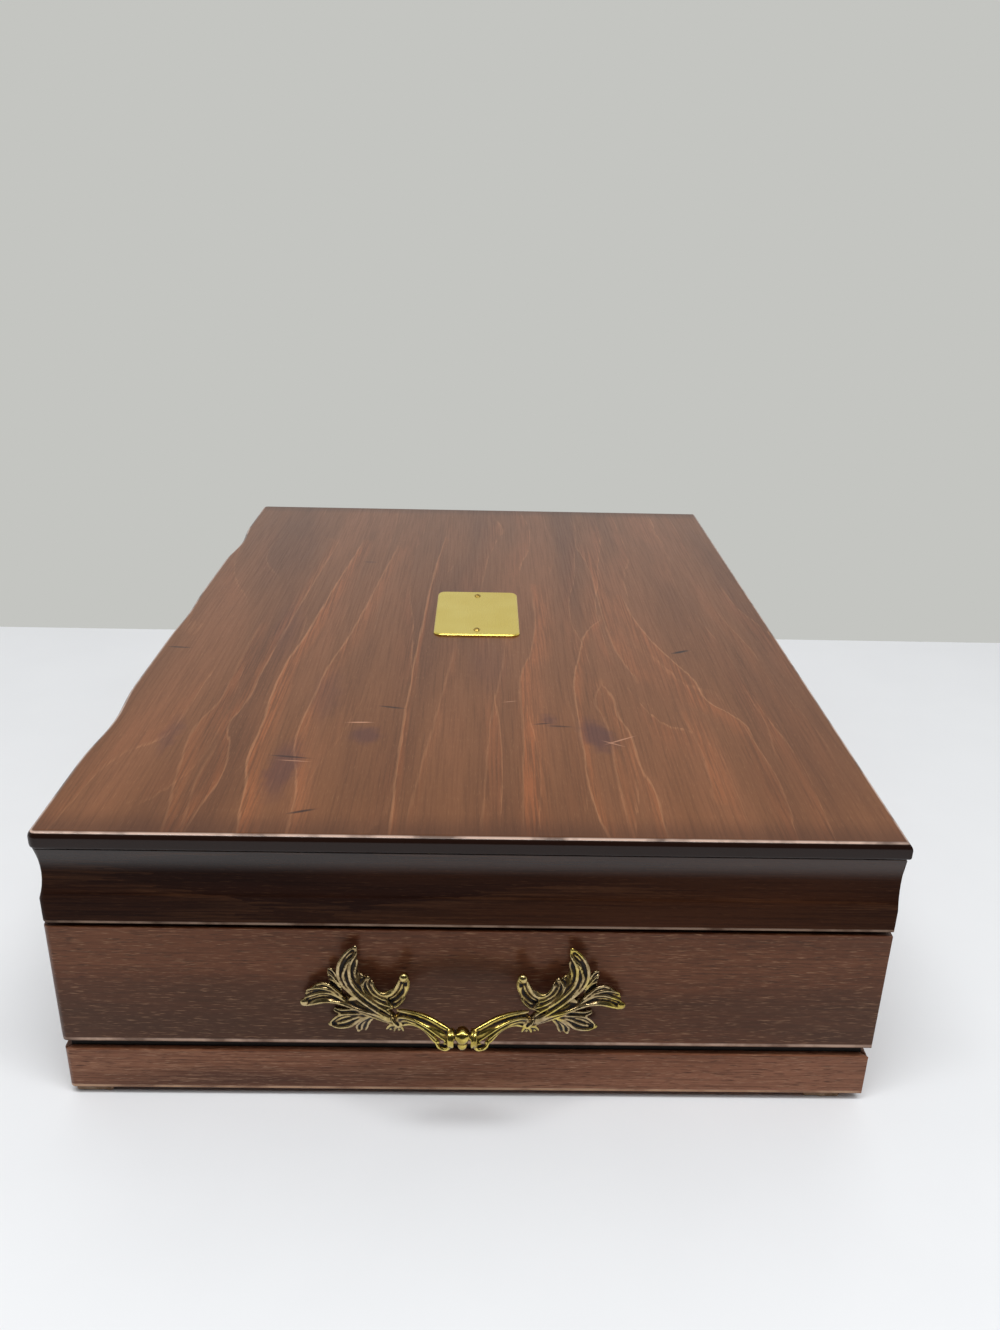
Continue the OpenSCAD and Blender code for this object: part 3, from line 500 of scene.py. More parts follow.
# grain is the axis that the board's fibres run along; figure and marks add what only some have
def woodMaterial(name, look, grain="X", seed=0.0, figure=None, marks=None):
    made, tree, shader, place = newMaterial(name)
    dark, middle, light, streak, line = look["tones"]
    shift = tuple(seed * step for step in wood["seedShift"])
    turned = addNode(tree, "Mapping", Vector=place, Location=shift,
                     Rotation=(0, 0, math.radians(-90 if grain == "Y" else 0)))
    across = addNode(tree, "SeparateXYZ", Vector=turned).outputs["Y"]

    noises = {}
    for key, (along, over, detail) in wood["noises"].items():
        stretched = addNode(tree, "Mapping", Vector=turned, Scale=(1 / along, 1 / over, 1 / over))
        noises[key] = addNode(tree, "TexNoise", Vector=stretched, Scale=1.0, Detail=detail)

    # growth bands: contour lines of a slow, long swell in the board
    climb = addNode(tree, "Math", times, i0=across, i1=look["slope"])
    swell = addNode(tree, "Math", timesPlus, i0=noises["swell"], i1=look["wander"] * 2.0, i2=climb)
    frayed = addNode(tree, "Math", timesPlus, i0=noises["fray"], i1=wood["jag"] * 2, i2=swell)
    bands = addNode(tree, "Math", {"operation": "DIVIDE"}, i0=frayed, i1=look["band"])
    index = addNode(tree, "Math", {"operation": "FLOOR"}, i0=bands)
    ring = addNode(tree, "Math", {"operation": "FRACT"}, i0=bands)
    chance = addNode(tree, "TexWhiteNoise", {"noise_dimensions": "1D"}, W=index)

    body = addNode(tree, "ValToRGB", stops=((0.34, dark), (0.5, middle), (0.66, light)),
                   Fac=noises["cloud"])
    fibres = addNode(tree, "MapRange", eased, Value=noises["fibre"], From_Min=0.4, From_Max=0.62)
    # the orange part of a band swells towards its line, more in some bands and places than others
    patch = addNode(tree, "MapRange", eased, Value=noises["patch"], From_Min=0.36, From_Max=0.58)
    rise = addNode(tree, "MapRange", eased, Value=ring, From_Min=0.25, From_Max=0.97)
    strength = addNode(tree, "MapRange", Value=chance.outputs["Value"], From_Min=0.2, From_Max=0.9,
                       To_Min=0.1, To_Max=look["figure"])
    orange = addNode(tree, "Math", times, i0=rise, i1=strength)
    torn = addNode(tree, "MapRange", Value=fibres, To_Min=0.25)
    broken = addNode(tree, "Math", times, i0=torn, i1=patch)
    orange = addNode(tree, "Math", times, i0=orange, i1=broken)
    body = addNode(tree, "Mix", tinted, i0=orange, i6=body, i7=streak)
    # the line that closes it
    edge = addNode(tree, "MapRange", eased, Value=ring, From_Min=1 - 1.0 / look["band"],
                   From_Max=1 - 0.3 / look["band"])
    edge = addNode(tree, "Math", times, i0=edge, i1=strength)
    thinned = addNode(tree, "Math", times, i0=broken, i1=0.9)
    edge = addNode(tree, "Math", times, i0=edge, i1=thinned)
    body = addNode(tree, "Mix", tinted, i0=edge, i6=body, i7=line)
    if figure:            # the board's own figure over the fainter bands
        lines, drawn = figure(tree, place, noises["fray"])
        drawn = addNode(tree, "Math", times, i0=drawn, i1=torn)
        body = addNode(tree, "Mix", tinted, i0=drawn, i6=body, i7=lidFigure["orange"])
        body = addNode(tree, "Mix", tinted, i0=lines, i6=body, i7=lidFigure["pale"])
    # fibres, dark pores and pale glints between them
    tone = addNode(tree, "ValToRGB", stops=((0.32, "#8C807A"), (0.5, "#EDE9E5"), (0.66, "#FFFFFF")),
                   Fac=noises["fibre"])
    body = addNode(tree, "Mix", darkened, i0=look["fibres"], i6=body, i7=tone)
    pores = addNode(tree, "MapRange", eased, Value=noises["pore"], From_Min=0.54, From_Max=0.72,
                    To_Max=look["pores"])
    body = addNode(tree, "Mix", tinted, i0=pores, i6=body, i7=dark)
    glints = addNode(tree, "MapRange", eased, Value=noises["glint"], From_Min=0.56, From_Max=0.76,
                     To_Max=0.4 * look["pores"])
    body = addNode(tree, "Mix", tinted, i0=glints, i6=body, i7=line)
    if marks:
        body = marks(tree, place, body)
    height = addNode(tree, "SeparateXYZ", Vector=place).outputs["Z"]
    if look["edge"]:      # darker spray along the ends, and painted shade on the rounded edge
        length = addNode(tree, "SeparateXYZ", Vector=turned).outputs["X"]
        length = addNode(tree, "Math", {"operation": "ADD"}, i0=length, i1=-shift[0])
        length = addNode(tree, "Math", {"operation": "ABSOLUTE"}, i0=length)
        sprayed = addNode(tree, "MapRange", eased, Value=length, From_Min=look["end"] - 17,
                          From_Max=look["end"] - 2, To_Max=look["spray"])
        body = addNode(tree, "Mix", tinted, i0=sprayed, i6=body, i7=wood["sprayed"])
        # painted shade: below the top, the lid's rounded edge turns nearly black
        edgeShade = addNode(tree, "MapRange", eased, Value=height, From_Min=look["edge"] - 0.05,
                         From_Max=look["edge"] - 0.3)
        body = addNode(tree, "Mix", tinted, i0=edgeShade, i6=body, i7=wood["edgeShade"])
    uneven = addNode(tree, "TexNoise", Vector=place, Scale=0.09, Detail=4.0)
    uneven = addNode(tree, "MapRange", Value=uneven, From_Min=0.36, From_Max=0.56, To_Min=0.3)
    # pale lines: on the lid a painted highlight along the nose, on the other pieces worn arrises
    for level, half, colour in look["wearAndHighlight"]:
        near = addNode(tree, "Math", {"operation": "SUBTRACT"}, i0=height, i1=level)
        near = addNode(tree, "Math", {"operation": "ABSOLUTE"}, i0=near)
        near = addNode(tree, "MapRange", Value=near, From_Min=half, From_Max=0.4 * half)
        near = addNode(tree, "Math", times, i0=near, i1=uneven)
        body = addNode(tree, "Mix", tinted, i0=near, i6=body, i7=colour)
    coat = look["coat"]
    if look["glossFrom"]:
        coat = addNode(tree, "MapRange", eased, Value=height, From_Min=look["glossFrom"] - 4,
                       From_Max=look["glossFrom"] + 2, To_Min=0.08, To_Max=look["coat"])

    rough = addNode(tree, "MapRange", Value=noises["fibre"], From_Min=0.3, From_Max=0.7,
                    To_Min=look["rough"] + 0.05, To_Max=look["rough"] - 0.05)
    # the lacquer sinks a little over the fibres and lies in a faint orange peel
    peel = addNode(tree, "TexNoise", Vector=place, Scale=0.35, Detail=2.0)
    sunk = addNode(tree, "Bump", Strength=0.10, Distance=0.05 * mm, Height=noises["fibre"])
    level = addNode(tree, "Bump", Strength=0.08, Distance=0.2 * mm, Height=peel, Normal=sunk)
    setShader(tree, shader, Base_Color=body, Roughness=rough, IOR=1.5,
              Specular_IOR_Level=look["sheen"], Specular_Tint=wood["sheenTint"], Coat_Weight=coat,
              Coat_Roughness=wood["coatRoughness"], Coat_IOR=1.5, Normal=level, Coat_Normal=level)
    return made


# Arris where handling has thinned the lacquer down to paler wood: dull, broken pale patches
def wornMaterial(name, dark, pale):
    made, tree, shader, place = newMaterial(name)
    rub = addNode(tree, "TexNoise", Vector=place, Scale=0.11, Detail=4.0, Roughness=0.6)
    fine = addNode(tree, "TexNoise", Vector=place, Scale=1.4, Detail=2.0)
    both = addNode(tree, "Math", timesPlus, i0=fine, i1=0.35, i2=rub)
    tint = addNode(tree, "ValToRGB", stops=((0.58, dark), (0.76, pale)), Fac=both)
    dents = addNode(tree, "Bump", Strength=0.25, Distance=0.08 * mm, Height=rub)
    setShader(tree, shader, Base_Color=tint, Roughness=0.35, IOR=1.5, Coat_Weight=1.0,
              Coat_Roughness=0.12, Normal=dents)
    return made


woodLid = woodMaterial("lacquered_mahogany_lid", wood["lid"], seed=1.3, figure=addGrowthLines,
                       marks=addMarks)
woodRailX = woodMaterial("lacquered_mahogany_rails", wood["rail"], seed=6.6)
woodRailY = woodMaterial("lacquered_mahogany_end_rails", wood["rail"], "Y", seed=5.2)
woodCaseX = woodMaterial("lacquered_mahogany_front", wood["case"], seed=4.1)
woodCaseY = woodMaterial("lacquered_mahogany_ends", wood["case"], "Y", seed=2.7, marks=addGripShade)
woodPlinthX = woodMaterial("lacquered_mahogany_plinth", wood["plinth"], seed=8.9)
woodPlinthY = woodMaterial("lacquered_mahogany_plinth_ends", wood["plinth"], "Y", seed=7.4)
wornDark = wornMaterial("rubbed_mahogany_arris", "#7A5C4C", "#BE9E8A")
wornRed = wornMaterial("rubbed_plinth_arris", "#6A3420", "#C07A4A")
# the lid board's arris is near-black like its rounded edge: painted shade, with broken paler worn
# patches
shadedWornLid = wornMaterial("shaded_worn_lid_arris", "#1E0F0A", "#4A2A1E")

boards = (
    # node, bevel mm, wood, arris, body, slot
    ("lid_top_board", 0.25, woodLid, shadedWornLid, "lid", "stained_wood_top"),
    ("lid_front_rail", 0.4, woodRailX, wornDark, "lid", "stained_wood"),
    ("lid_back_rail", 0.4, woodRailX, wornDark, "lid", "stained_wood"),
    ("lid_left_rail", 0.4, woodRailY, wornDark, "lid", "stained_wood"),
    ("lid_right_rail", 0.4, woodRailY, wornDark, "lid", "stained_wood"),
    ("front_board", 0.8, woodCaseX, wornDark, "case", "stained_wood"),
    ("back_board", 0.8, woodCaseX, wornDark, "case", "stained_wood"),
    ("left_board", 0.8, woodCaseY, wornDark, "case", "stained_wood"),
    ("right_board", 0.8, woodCaseY, wornDark, "case", "stained_wood"),
    ("plinth_front", 1.2, woodPlinthX, wornRed, "case", "stained_wood_light"),
    ("plinth_back", 1.2, woodPlinthX, wornRed, "case", "stained_wood_light"),
    ("plinth_left", 1.2, woodPlinthY, wornRed, "case", "stained_wood_light"),
    ("plinth_right", 1.2, woodPlinthY, wornRed, "case", "stained_wood_light"),
)


def longEdge(edge):       # an arris that runs level; upright ones stay sharp, so the mitres close
    way = edge.verts[1].co - edge.verts[0].co
    return abs(way.z) < 0.2 * way.length


for node, bevel, timber, arris, body, slot in boards:
    board = copyNode(node, node + "_finished")
    softenEdges(board, bevel * mm, sharp=40, worn=1, keep=longEdge)
    smooth(board)
    settle(board, body, (timber, arris), [node])
print("boards:", len(boards))

# The cast pull. One half of the right end's pull is given as ribs, each with its radius at the
# start, middle and end in mm, and its places as (sideways from the middle, up from the board's
# foot, out from its face) in mm. The other half mirrors it. Webs fill the troughs between ribs.
pull = {
    "shift": -2.0,            # mm from the end board's middle
    "voxel": 0.30,            # mm; finer keeps more of the casting's flutes
    "tip": 0.55,              # share of its radius that a rib keeps at its tips
    "taper": 8,               # and one part in so many of its length, over which it thins
    # a finer rib down the middle of each trough: its radius is a share of the trough's width
    # less an inset, between two limits, and it lies so deep behind the ribs beside it
    "fineShare": 0.22, "fineInset": 0.2, "fineLeast": 0.05, "fineMost": 0.42, "fineDepth": 0.45,
    "fineSteps": 16,          # points along it
    "webSteps": 14,           # and along a web
    "trough": 0.45,           # mm; a web lies behind its ribs by these shares of it
    "troughSide": 0.4, "troughMiddle": 1.6,
    "web": 1.1,               # mm thick
    "ribs": {
        # big upper leaf
        "A1": ((0.62, 0.66, 0.55), ((36.2, 42.8, 3.5), (38.2, 41.5, 4), (40, 39.2, 4.5),
                (41.1, 36.4, 5), (41.2, 33.4, 5.5), (40.1, 30.4, 6), (37.5, 27.3, 6.5),
                (34, 24.3, 7), (30, 21.3, 7.5), (26, 18.7, 8), (22.8, 17.4, 8.5))),
        "A2": ((0.6, 0.6, 0.5), ((35.2, 42.8, 3.5), (35.4, 40.6, 4.1), (36.6, 38.6, 4.6),
                (37.4, 36.1, 5.2), (37.4, 33.1, 5.7), (36.3, 30.1, 6.3), (33.9, 27.2, 6.8),
                (30.7, 24.4, 7.4), (26.7, 21.7, 7.9), (23.1, 19.2, 8.5))),
        "A3": ((0.4, 0.46, 0.35), ((36.2, 39.8, 4.3), (38, 37.8, 4.8), (39, 35.5, 5.3),
                (39.5, 32.9, 5.8), (38.3, 29.9, 6.3), (35.6, 26.4, 6.8), (32.4, 23.6, 7.3))),
        # small leaves between it and the scroll
        "B1": ((0.4, 0.5, 0.4), ((35.2, 33.5, 4), (36, 31.9, 4.8), (35.6, 30, 5.5),
                (33.6, 27.2, 6.2), (30.8, 24.8, 7))),
        "B2": ((0.4, 0.5, 0.4), ((34.8, 33.2, 4), (34.8, 31.4, 4.8), (34, 29.6, 5.6),
                (32, 27.3, 6.4), (29.1, 25, 7.2), (25.9, 23.3, 8))),
        "C1": ((0.45, 0.52, 0.4), ((31.6, 31.6, 5), (33, 30.6, 5.6), (33.1, 28.6, 6.2),
                (31.6, 26.1, 6.8), (28.7, 24.2, 7.3), (25.5, 23.2, 7.9), (23.1, 22.7, 8.5))),
        "C2": ((0.4, 0.48, 0.4), ((31.2, 31.6, 5), (31.6, 29.8, 5.8), (30.3, 27.4, 6.5),
                (27.9, 25.8, 7.2), (25.1, 25, 8))),
        # C-scroll
        "D1": ((0.5, 0.95, 0.6), ((29.7, 31, 6), (29.2, 28.7, 6.4), (27.2, 26.8, 6.7),
                (24.8, 26.7, 6.9), (22.7, 28.2, 7), (21.5, 30.8, 7), (20.9, 32.9, 7))),
        "D2": ((0.4, 0.5, 0.4), ((30.5, 30.5, 6), (29.6, 27.2, 6.2), (27.2, 25.1, 6.4),
                (24.4, 25, 6.6), (22, 26.7, 6.8), (20.5, 29.3, 6.9), (19.9, 31.4, 7))),
        "D3": ((0.4, 0.6, 0.5), ((31.6, 29, 6), (29.6, 25.1, 6.2), (26.9, 23, 6.4),
                (23.6, 23.2, 6.6), (21.2, 24.6, 6.7), (19.2, 27.2, 6.8), (18.1, 30.3, 6.9),
                (18.1, 32.8, 7), (18.9, 34.1, 7))),
        "D4": ((0.4, 0.5, 0.4), ((29.2, 23.4, 7), (26, 21.6, 7.2), (23.2, 21.9, 7.5),
                (20.7, 23.6, 7.7), (19.1, 26.3, 7.6))),
        # lobes beside the upper leaf
        "E1": ((0.45, 0.5, 0.4), ((45.1, 33.9, 3), (43.5, 33.9, 3.4), (42.1, 32.2, 3.8),
                (40.9, 29.9, 4.2), (39.3, 27.7, 4.6), (37.4, 25.6, 5))),
        "E2": ((0.4, 0.45, 0.4), ((45.2, 32.6, 3), (43.7, 31.9, 3.7), (42.3, 30.5, 4.3),
                (40.8, 29, 5))),
        "E3": ((0.4, 0.48, 0.4), ((44.8, 29.6, 3), (43.4, 29.9, 3.7), (41.9, 29, 4.3),
                (40.5, 27.5, 5))),
        "E5": ((0.4, 0.45, 0.4), ((43.6, 25.4, 3.2), (42.4, 24.4, 3.8), (41.1, 23.2, 4.4),
                (39.8, 23.1, 5))),
        # big outer leaf
        "F1": ((0.45, 0.55, 0.45), ((49.3, 27.4, 3.5), (47, 28.5, 3.8), (44.6, 28.1, 4.2),
                (43, 27.1, 4.5), (40, 24.6, 5.4))),
        "F2": ((0.45, 0.5, 0.4), ((52.4, 25.2, 3.5), (49.9, 26.5, 3.9), (47, 26.9, 4.2),
                (43.8, 26.2, 4.6), (42.2, 25, 5), (38.6, 22.6, 5.8))),
        "F3": ((0.5, 0.52, 0.42), ((53, 22.1, 3.5), (50, 23.8, 3.9), (46.7, 25.1, 4.3),
                (43.8, 25, 4.7), (41.4, 23.9, 5.1), (39, 22.5, 5.5), (35, 20.6, 6.3))),
        "F5": ((0.45, 0.5, 0.42), ((51.5, 20.1, 3.5), (48.1, 21.9, 4), (44.4, 22.6, 4.5),
                (40.7, 22, 5), (37.4, 21, 5.5), (33, 19.6, 6.6))),
        "F6": ((0.55, 0.62, 0.5), ((52.7, 18.9, 3.5), (49.7, 20.5, 4.2), (45.9, 21.8, 4.8),
                (42.2, 22.2, 5.5), (38.6, 21.5, 6.2), (34.5, 20.1, 6.8), (29.3, 18.8, 7.5),
                (23.5, 16.6, 8.4))),
        # stem's edges
        "G1": ((0.4, 0.6, 0.6), ((39.4, 22, 5.8), (35, 20.3, 6.6), (30.1, 19.2, 7.4),
                (26, 18.2, 8.1), (22.4, 17.4, 8.8))),
        "G2": ((0.4, 0.5, 0.5), ((36, 18.9, 5.4), (31.5, 17.6, 6.4), (27, 16.4, 7.2),
                (22.6, 15.4, 8.0))),
        "H2": ((0.45, 0.5, 0.4), ((43, 18.6, 4), (40.9, 18.3, 4.5), (38.4, 18.8, 5),
                (35.9, 19.3, 5.5), (33.4, 19, 6))),
        "H3": ((0.45, 0.45, 0.4), ((43.6, 17.4, 3.6), (41, 16.6, 4.1), (38, 17.1, 4.7),
                (35, 17.8, 5.4))),
        # lower leaf and lobe
        "I1": ((0.45, 0.55, 0.45), ((44.8, 11.6, 3), (43.2, 13.9, 3.6), (41.4, 15.7, 4.2),
                (38.9, 16.8, 4.8), (36, 17.3, 5.3), (32.7, 17.9, 5.9), (29.8, 18.4, 6.5))),
        "I2": ((0.5, 0.58, 0.45), ((44.6, 10.3, 3), (42.5, 10.1, 3.6), (40, 10.6, 4.2),
                (37.4, 11.9, 4.8), (35.2, 14.3, 5.3), (32.7, 16.6, 5.9), (29.8, 18.1, 6.5))),
        "I3": ((0.4, 0.5, 0.4), ((42.6, 11.3, 3.2), (39.5, 13.0, 4.2), (36.5, 15.1, 5),
                (33, 17.2, 5.8))),
        "J1": ((0.5, 0.55, 0.45), ((35.6, 8.8, 3.5), (35.8, 11.1, 4.2), (34.7, 13.4, 5),
                (32.7, 15.8, 5.9), (29.7, 18.3, 6.8))),
        "J2": ((0.45, 0.5, 0.45), ((33.1, 8.6, 3.5), (32.2, 10.9, 4.2), (31.6, 13.2, 5),
                (30.3, 15.8, 5.9), (28.5, 18.1, 6.8))),
        # drop leaf at the arm's root
        "K1": ((0.45, 0.55, 0.5), ((25.6, 12.3, 7), (24.5, 14.3, 7.5), (22.8, 15.2, 8),
                (21.6, 15.9, 8.5))),
        "K2": ((0.4, 0.5, 0.5), ((23.0, 11.6, 7.2), (22.6, 13.4, 7.8), (21.8, 15.2, 8.4))),
        "K4": ((0.45, 0.55, 0.5), ((19.7, 12.5, 8), (20.2, 14.4, 8.5), (21.2, 15.9, 9))),
        # grip arm: round back, broad upper band, flutes and lower rim, ending in a volute
        "arm": ((2.0, 1.75, 1.95), ((22.8, 17.4, 8.2), (18.65, 20.6, 10.1), (13.6, 21.6, 13.3),
                 (8, 20.9, 16.5), (2.2, 19.3, 18.7))),
        "L1": ((0.7, 1.0, 0.9), ((21.9, 22.1, 9), (18.5, 23.2, 11), (14.4, 23.8, 13),
                (10.4, 23.7, 15), (6.8, 22.9, 17), (3.0, 21.6, 18.8))),
        "L2": ((0.5, 0.55, 0.5), ((21.9, 18.4, 9.8), (21, 20.9, 11.2), (18.4, 22.2, 12.8),
                (15.2, 22.6, 14.6), (11.9, 22.0, 16.4), (8.7, 20.6, 18.0), (5.9, 19.3, 19.3),
                (3.6, 18.6, 20))),
        "L3": ((0.4, 0.5, 0.45), ((20.6, 18.6, 10.6), (18.4, 20.6, 12.4), (15.4, 21.1, 14.3),
                (12.2, 20.4, 16.1), (9.4, 19.2, 17.8), (7.0, 17.6, 19.2))),
        "L4": ((0.5, 0.6, 0.6), ((21.4, 15.6, 9.2), (17.7, 18.6, 11.5), (14.8, 19.7, 13.5),
                (12, 19.3, 15.5), (9.7, 18.0, 17.5), (8.2, 17.2, 19))),
        "root": ((0.5, 0.6, 0.5), ((23.6, 19.6, 9.4), (22.6, 17.6, 10.2), (21.2, 16.4, 10.2),
                  (20.4, 17.6, 10.6), (21, 19, 10.6))),
        "volute": ((0.6, 0.62, 0.45), ((8.6, 18.0, 18.8), (7.4, 15.9, 19.2), (5.2, 15.4, 19.5),
                    (4.0, 16.9, 19.7), (4.9, 18.3, 19.9), (6.3, 17.9, 19.9))),
        "stem": ((2.2, 2.0, 1.2), ((22.5, 17.4, 7.6), (27, 18.6, 6.4), (33, 20.7, 5.0),
                  (40.5, 23.3, 3.8))),
    },
    "webs": (
        ("A1", "A3"), ("A3", "A2"), ("A2", "B2"), ("B1", "B2"), ("C1", "C2"), ("C1", "B2"),
        ("D1", "D2"), ("D2", "D3"), ("D3", "D4"), ("C2", "D1"), ("E1", "E2"), ("E2", "E3"),
        ("E3", "E5"), ("F1", "F2"), ("F2", "F3"), ("F3", "F5"), ("F5", "F6"), ("G1", "G2"),
        ("H2", "H3"), ("I1", "I3"), ("I3", "I2"), ("J1", "J2"), ("K1", "K2"), ("K2", "K4"),
    ),
    # beads and knobs: place, radii (sideways, up, out)
    "knobs": (
        ((19.5, 33.5, 6.6), (1.75, 1.75, 1.6)), ((31.5, 31.9, 4.9), (1.0, 1.0, 1.1)),
        ((53.2, 20.2, 3.2), (1.5, 1.5, 1.1)), ((35.6, 42.6, 3.3), (0.8, 1.0, 0.8)),
        ((35.4, 8.6, 3.2), (0.8, 0.7, 0.7)), ((44.9, 10.9, 2.8), (0.8, 0.9, 0.7)),
    ),
    # in the middle: the knot's upper and lower swelling
    "knot": (((0, 20.4, 18.6), (2.5, 2.8, 3.1)), ((0, 17.6, 18.9), (1.8, 2.2, 2.5)),
             ((1.5, 21.2, 20.2), (1.0, 1.5, 1.2)), ((-1.5, 21.2, 20.2), (1.0, 1.5, 1.2))),
    "collars": ((3.2, 2.75, 0.5), (4.3, 2.5, 0.55)),   # sideways, ring radius, thickness
    "collarPlace": (19.4, 18.7),                        # up, out
    "boss": (35, 22, 3.3, 5.6),                         # sideways, up, radius, height
}


def smoothPath(points, count):      # Catmull-Rom through the points, evenly counted
    knots = [Vector(point) for point in points]
    knots = [knots[0] * 2 - knots[1]] + knots + [knots[-1] * 2 - knots[-2]]
    path = []
    for step in range(count):
        where = step / (count - 1) * (len(points) - 1)
        first = min(int(where), len(points) - 2)
        t = where - first
        a, b, c, d = knots[first:first + 4]
        path.append(0.5 * (2 * b + (c - a) * t + (2 * a - 5 * b + 4 * c - d) * t * t
                           + (3 * b - a - 3 * c + d) * t ** 3))
    return path


# A casting like this isn't made from primitives: each rib is a tapered tube along its curve, the
# webs are strips between ribs, and a voxel remesh runs them together as poured metal would
def castPull(values):
    middle = middleY + values["shift"] * mm

    def onBoard(point, side=1):     # (sideways, up, out) in mm to the frame
        sideways, up, away = point
        return Vector((boardFace + away * mm, middle - side * sideways * mm, caseFoot + up * mm))

    parts = []
    for side in (1, -1):
        curve = bpy.data.curves.new("ribs", "CURVE")
        curve.dimensions = "3D"
        curve.bevel_depth = mm
        curve.bevel_resolution = 3
        curve.use_fill_caps = True
        paths = {}
        for name, (radii, points) in values["ribs"].items():
            count = 4 * len(points)
            path = paths[name] = smoothPath(points, count)
            spline = curve.splines.new("POLY")
            spline.points.add(count - 1)
            for step, (place, knot) in enumerate(zip(path, spline.points)):
                t = step / (count - 1)
                start, belly, end = radii
                radius = start + (belly - start) * min(t * 2, 1) + (end - belly) * max(t * 2 - 1, 0)
                full = min(1, t * values["taper"], (1 - t) * values["taper"])
                knot.co = (*onBoard(place, side), 1)
                knot.radius = radius * (values["tip"] + (1 - values["tip"]) * full)
        for first, second in values["webs"]:
            count = values["fineSteps"]
            spline = curve.splines.new("POLY")
            spline.points.add(count - 1)
            for a, b, knot in zip(smoothPath(values["ribs"][first][1], count),
                                  smoothPath(values["ribs"][second][1], count), spline.points):
                fine = values["fineShare"] * (a - b).length - values["fineInset"]
                knot.co = (*onBoard((a + b) / 2 - Vector((0, 0, values["fineDepth"])), side), 1)
                knot.radius = min(max(fine, values["fineLeast"]), values["fineMost"])
        ribs = bpy.data.objects.new("ribs", curve)
        bpy.context.scene.collection.objects.link(ribs)
        work(ribs)
        bpy.ops.object.convert(target="MESH")
        parts.append(bpy.context.object)

        corners, faces = [], []
        low, deep = Vector((0, 0, values["trough"])), Vector((0, 0, values["web"]))
        sides, ditch = low * values["troughSide"], low * values["troughMiddle"]
        for first, second in values["webs"]:
            count = values["webSteps"]
            one = smoothPath(values["ribs"][first][1], count)
            two = smoothPath(values["ribs"][second][1], count)
            base = len(corners)
            for a, b in zip(one, two):
                m = (a + b) / 2 - ditch
                for point in (a - sides, m, b - sides, b - deep, m - deep, a - deep):
                    corners.append(onBoard(point, side))
            for step in range(count - 1):
                for k in range(6):
                    i, j = base + step * 6 + k, base + step * 6 + (k + 1) % 6
                    faces.append((i, j, j + 6, i + 6))
            faces.append(tuple(base + k for k in range(6)))
            faces.append(tuple(base + (count - 1) * 6 + 5 - k for k in range(6)))
        mesh = bpy.data.meshes.new("webs")
        mesh.from_pydata(corners, [], faces)
        webs = bpy.data.objects.new("webs", mesh)
        bpy.context.scene.collection.objects.link(webs)
        parts.append(turnOutwards(webs))

        for place, radii in values["knobs"] + (values["knot"] if side == 1 else ()):
            deselectAll()
            bpy.ops.mesh.primitive_uv_sphere_add(
                segments=24, ring_count=16, radius=1, location=onBoard(place, side),
                scale=(radii[2] * mm, radii[0] * mm, radii[1] * mm))
            parts.append(takeNew("knob"))
        for sideways, ring, thick in values["collars"]:
            deselectAll()
            bpy.ops.mesh.primitive_torus_add(
                major_radius=ring * mm, minor_radius=thick * mm,
                major_segments=32, minor_segments=10, rotation=(math.radians(90), 0, 0),
                location=onBoard((sideways, *values["collarPlace"]), side))
            parts.append(takeNew("collar"))
        sideways, up, radius, height = values["boss"]
        deselectAll()
        bpy.ops.mesh.primitive_cylinder_add(vertices=32, radius=radius * mm, depth=height * mm,
                                            location=onBoard((sideways, up, height / 2), side),
                                            rotation=(0, math.radians(90), 0))
        parts.append(takeNew("boss"))

    casting = joinAll(parts, "leaf_pull_right")
    turnOutwards(casting)
    applyModifier(casting, "REMESH", mode="VOXEL", voxel_size=values["voxel"] * mm, adaptivity=0.0)
    applyModifier(casting, "SMOOTH", factor=0.5, iterations=2)
    applyModifier(casting, "DECIMATE", ratio=0.5)
    turnOutwards(casting)
    work(casting)
    bpy.ops.object.shade_smooth()
    return casting


# How deep each point of the casting lies: its neighbours' mean height over it, spread a little,
# kept as an attribute, so that the patina stays in the same recesses in every view
def markRecesses(piece, spread=2, backDark=0.2):
    mesh = piece.data
    depth = [0.0] * len(mesh.vertices)
    around = [[] for vertex in mesh.vertices]
    for edge in mesh.edges:
        a, b = edge.vertices
        around[a].append(b)
        around[b].append(a)
    for vertex in mesh.vertices:
        near = {far for other in around[vertex.index] for far in around[other]}
        if near:
            middle = sum((mesh.vertices[other].co for other in near), Vector()) / len(near)
            depth[vertex.index] = (middle - vertex.co).dot(vertex.normal) * perMetre
    for turn in range(spread):
        depth = [0.5 * depth[i] + 0.5 * sum(depth[other] for other in near) / max(len(near), 1)
                 for i, near in enumerate(around)]
    # the back, towards the board, was never rubbed
    for vertex in mesh.vertices:
        depth[vertex.index] += backDark * max(0, -vertex.normal.x - 0.1)
    mark = mesh.attributes.new("recess", "FLOAT", "POINT")
    mark.data.foreach_set("value", depth)


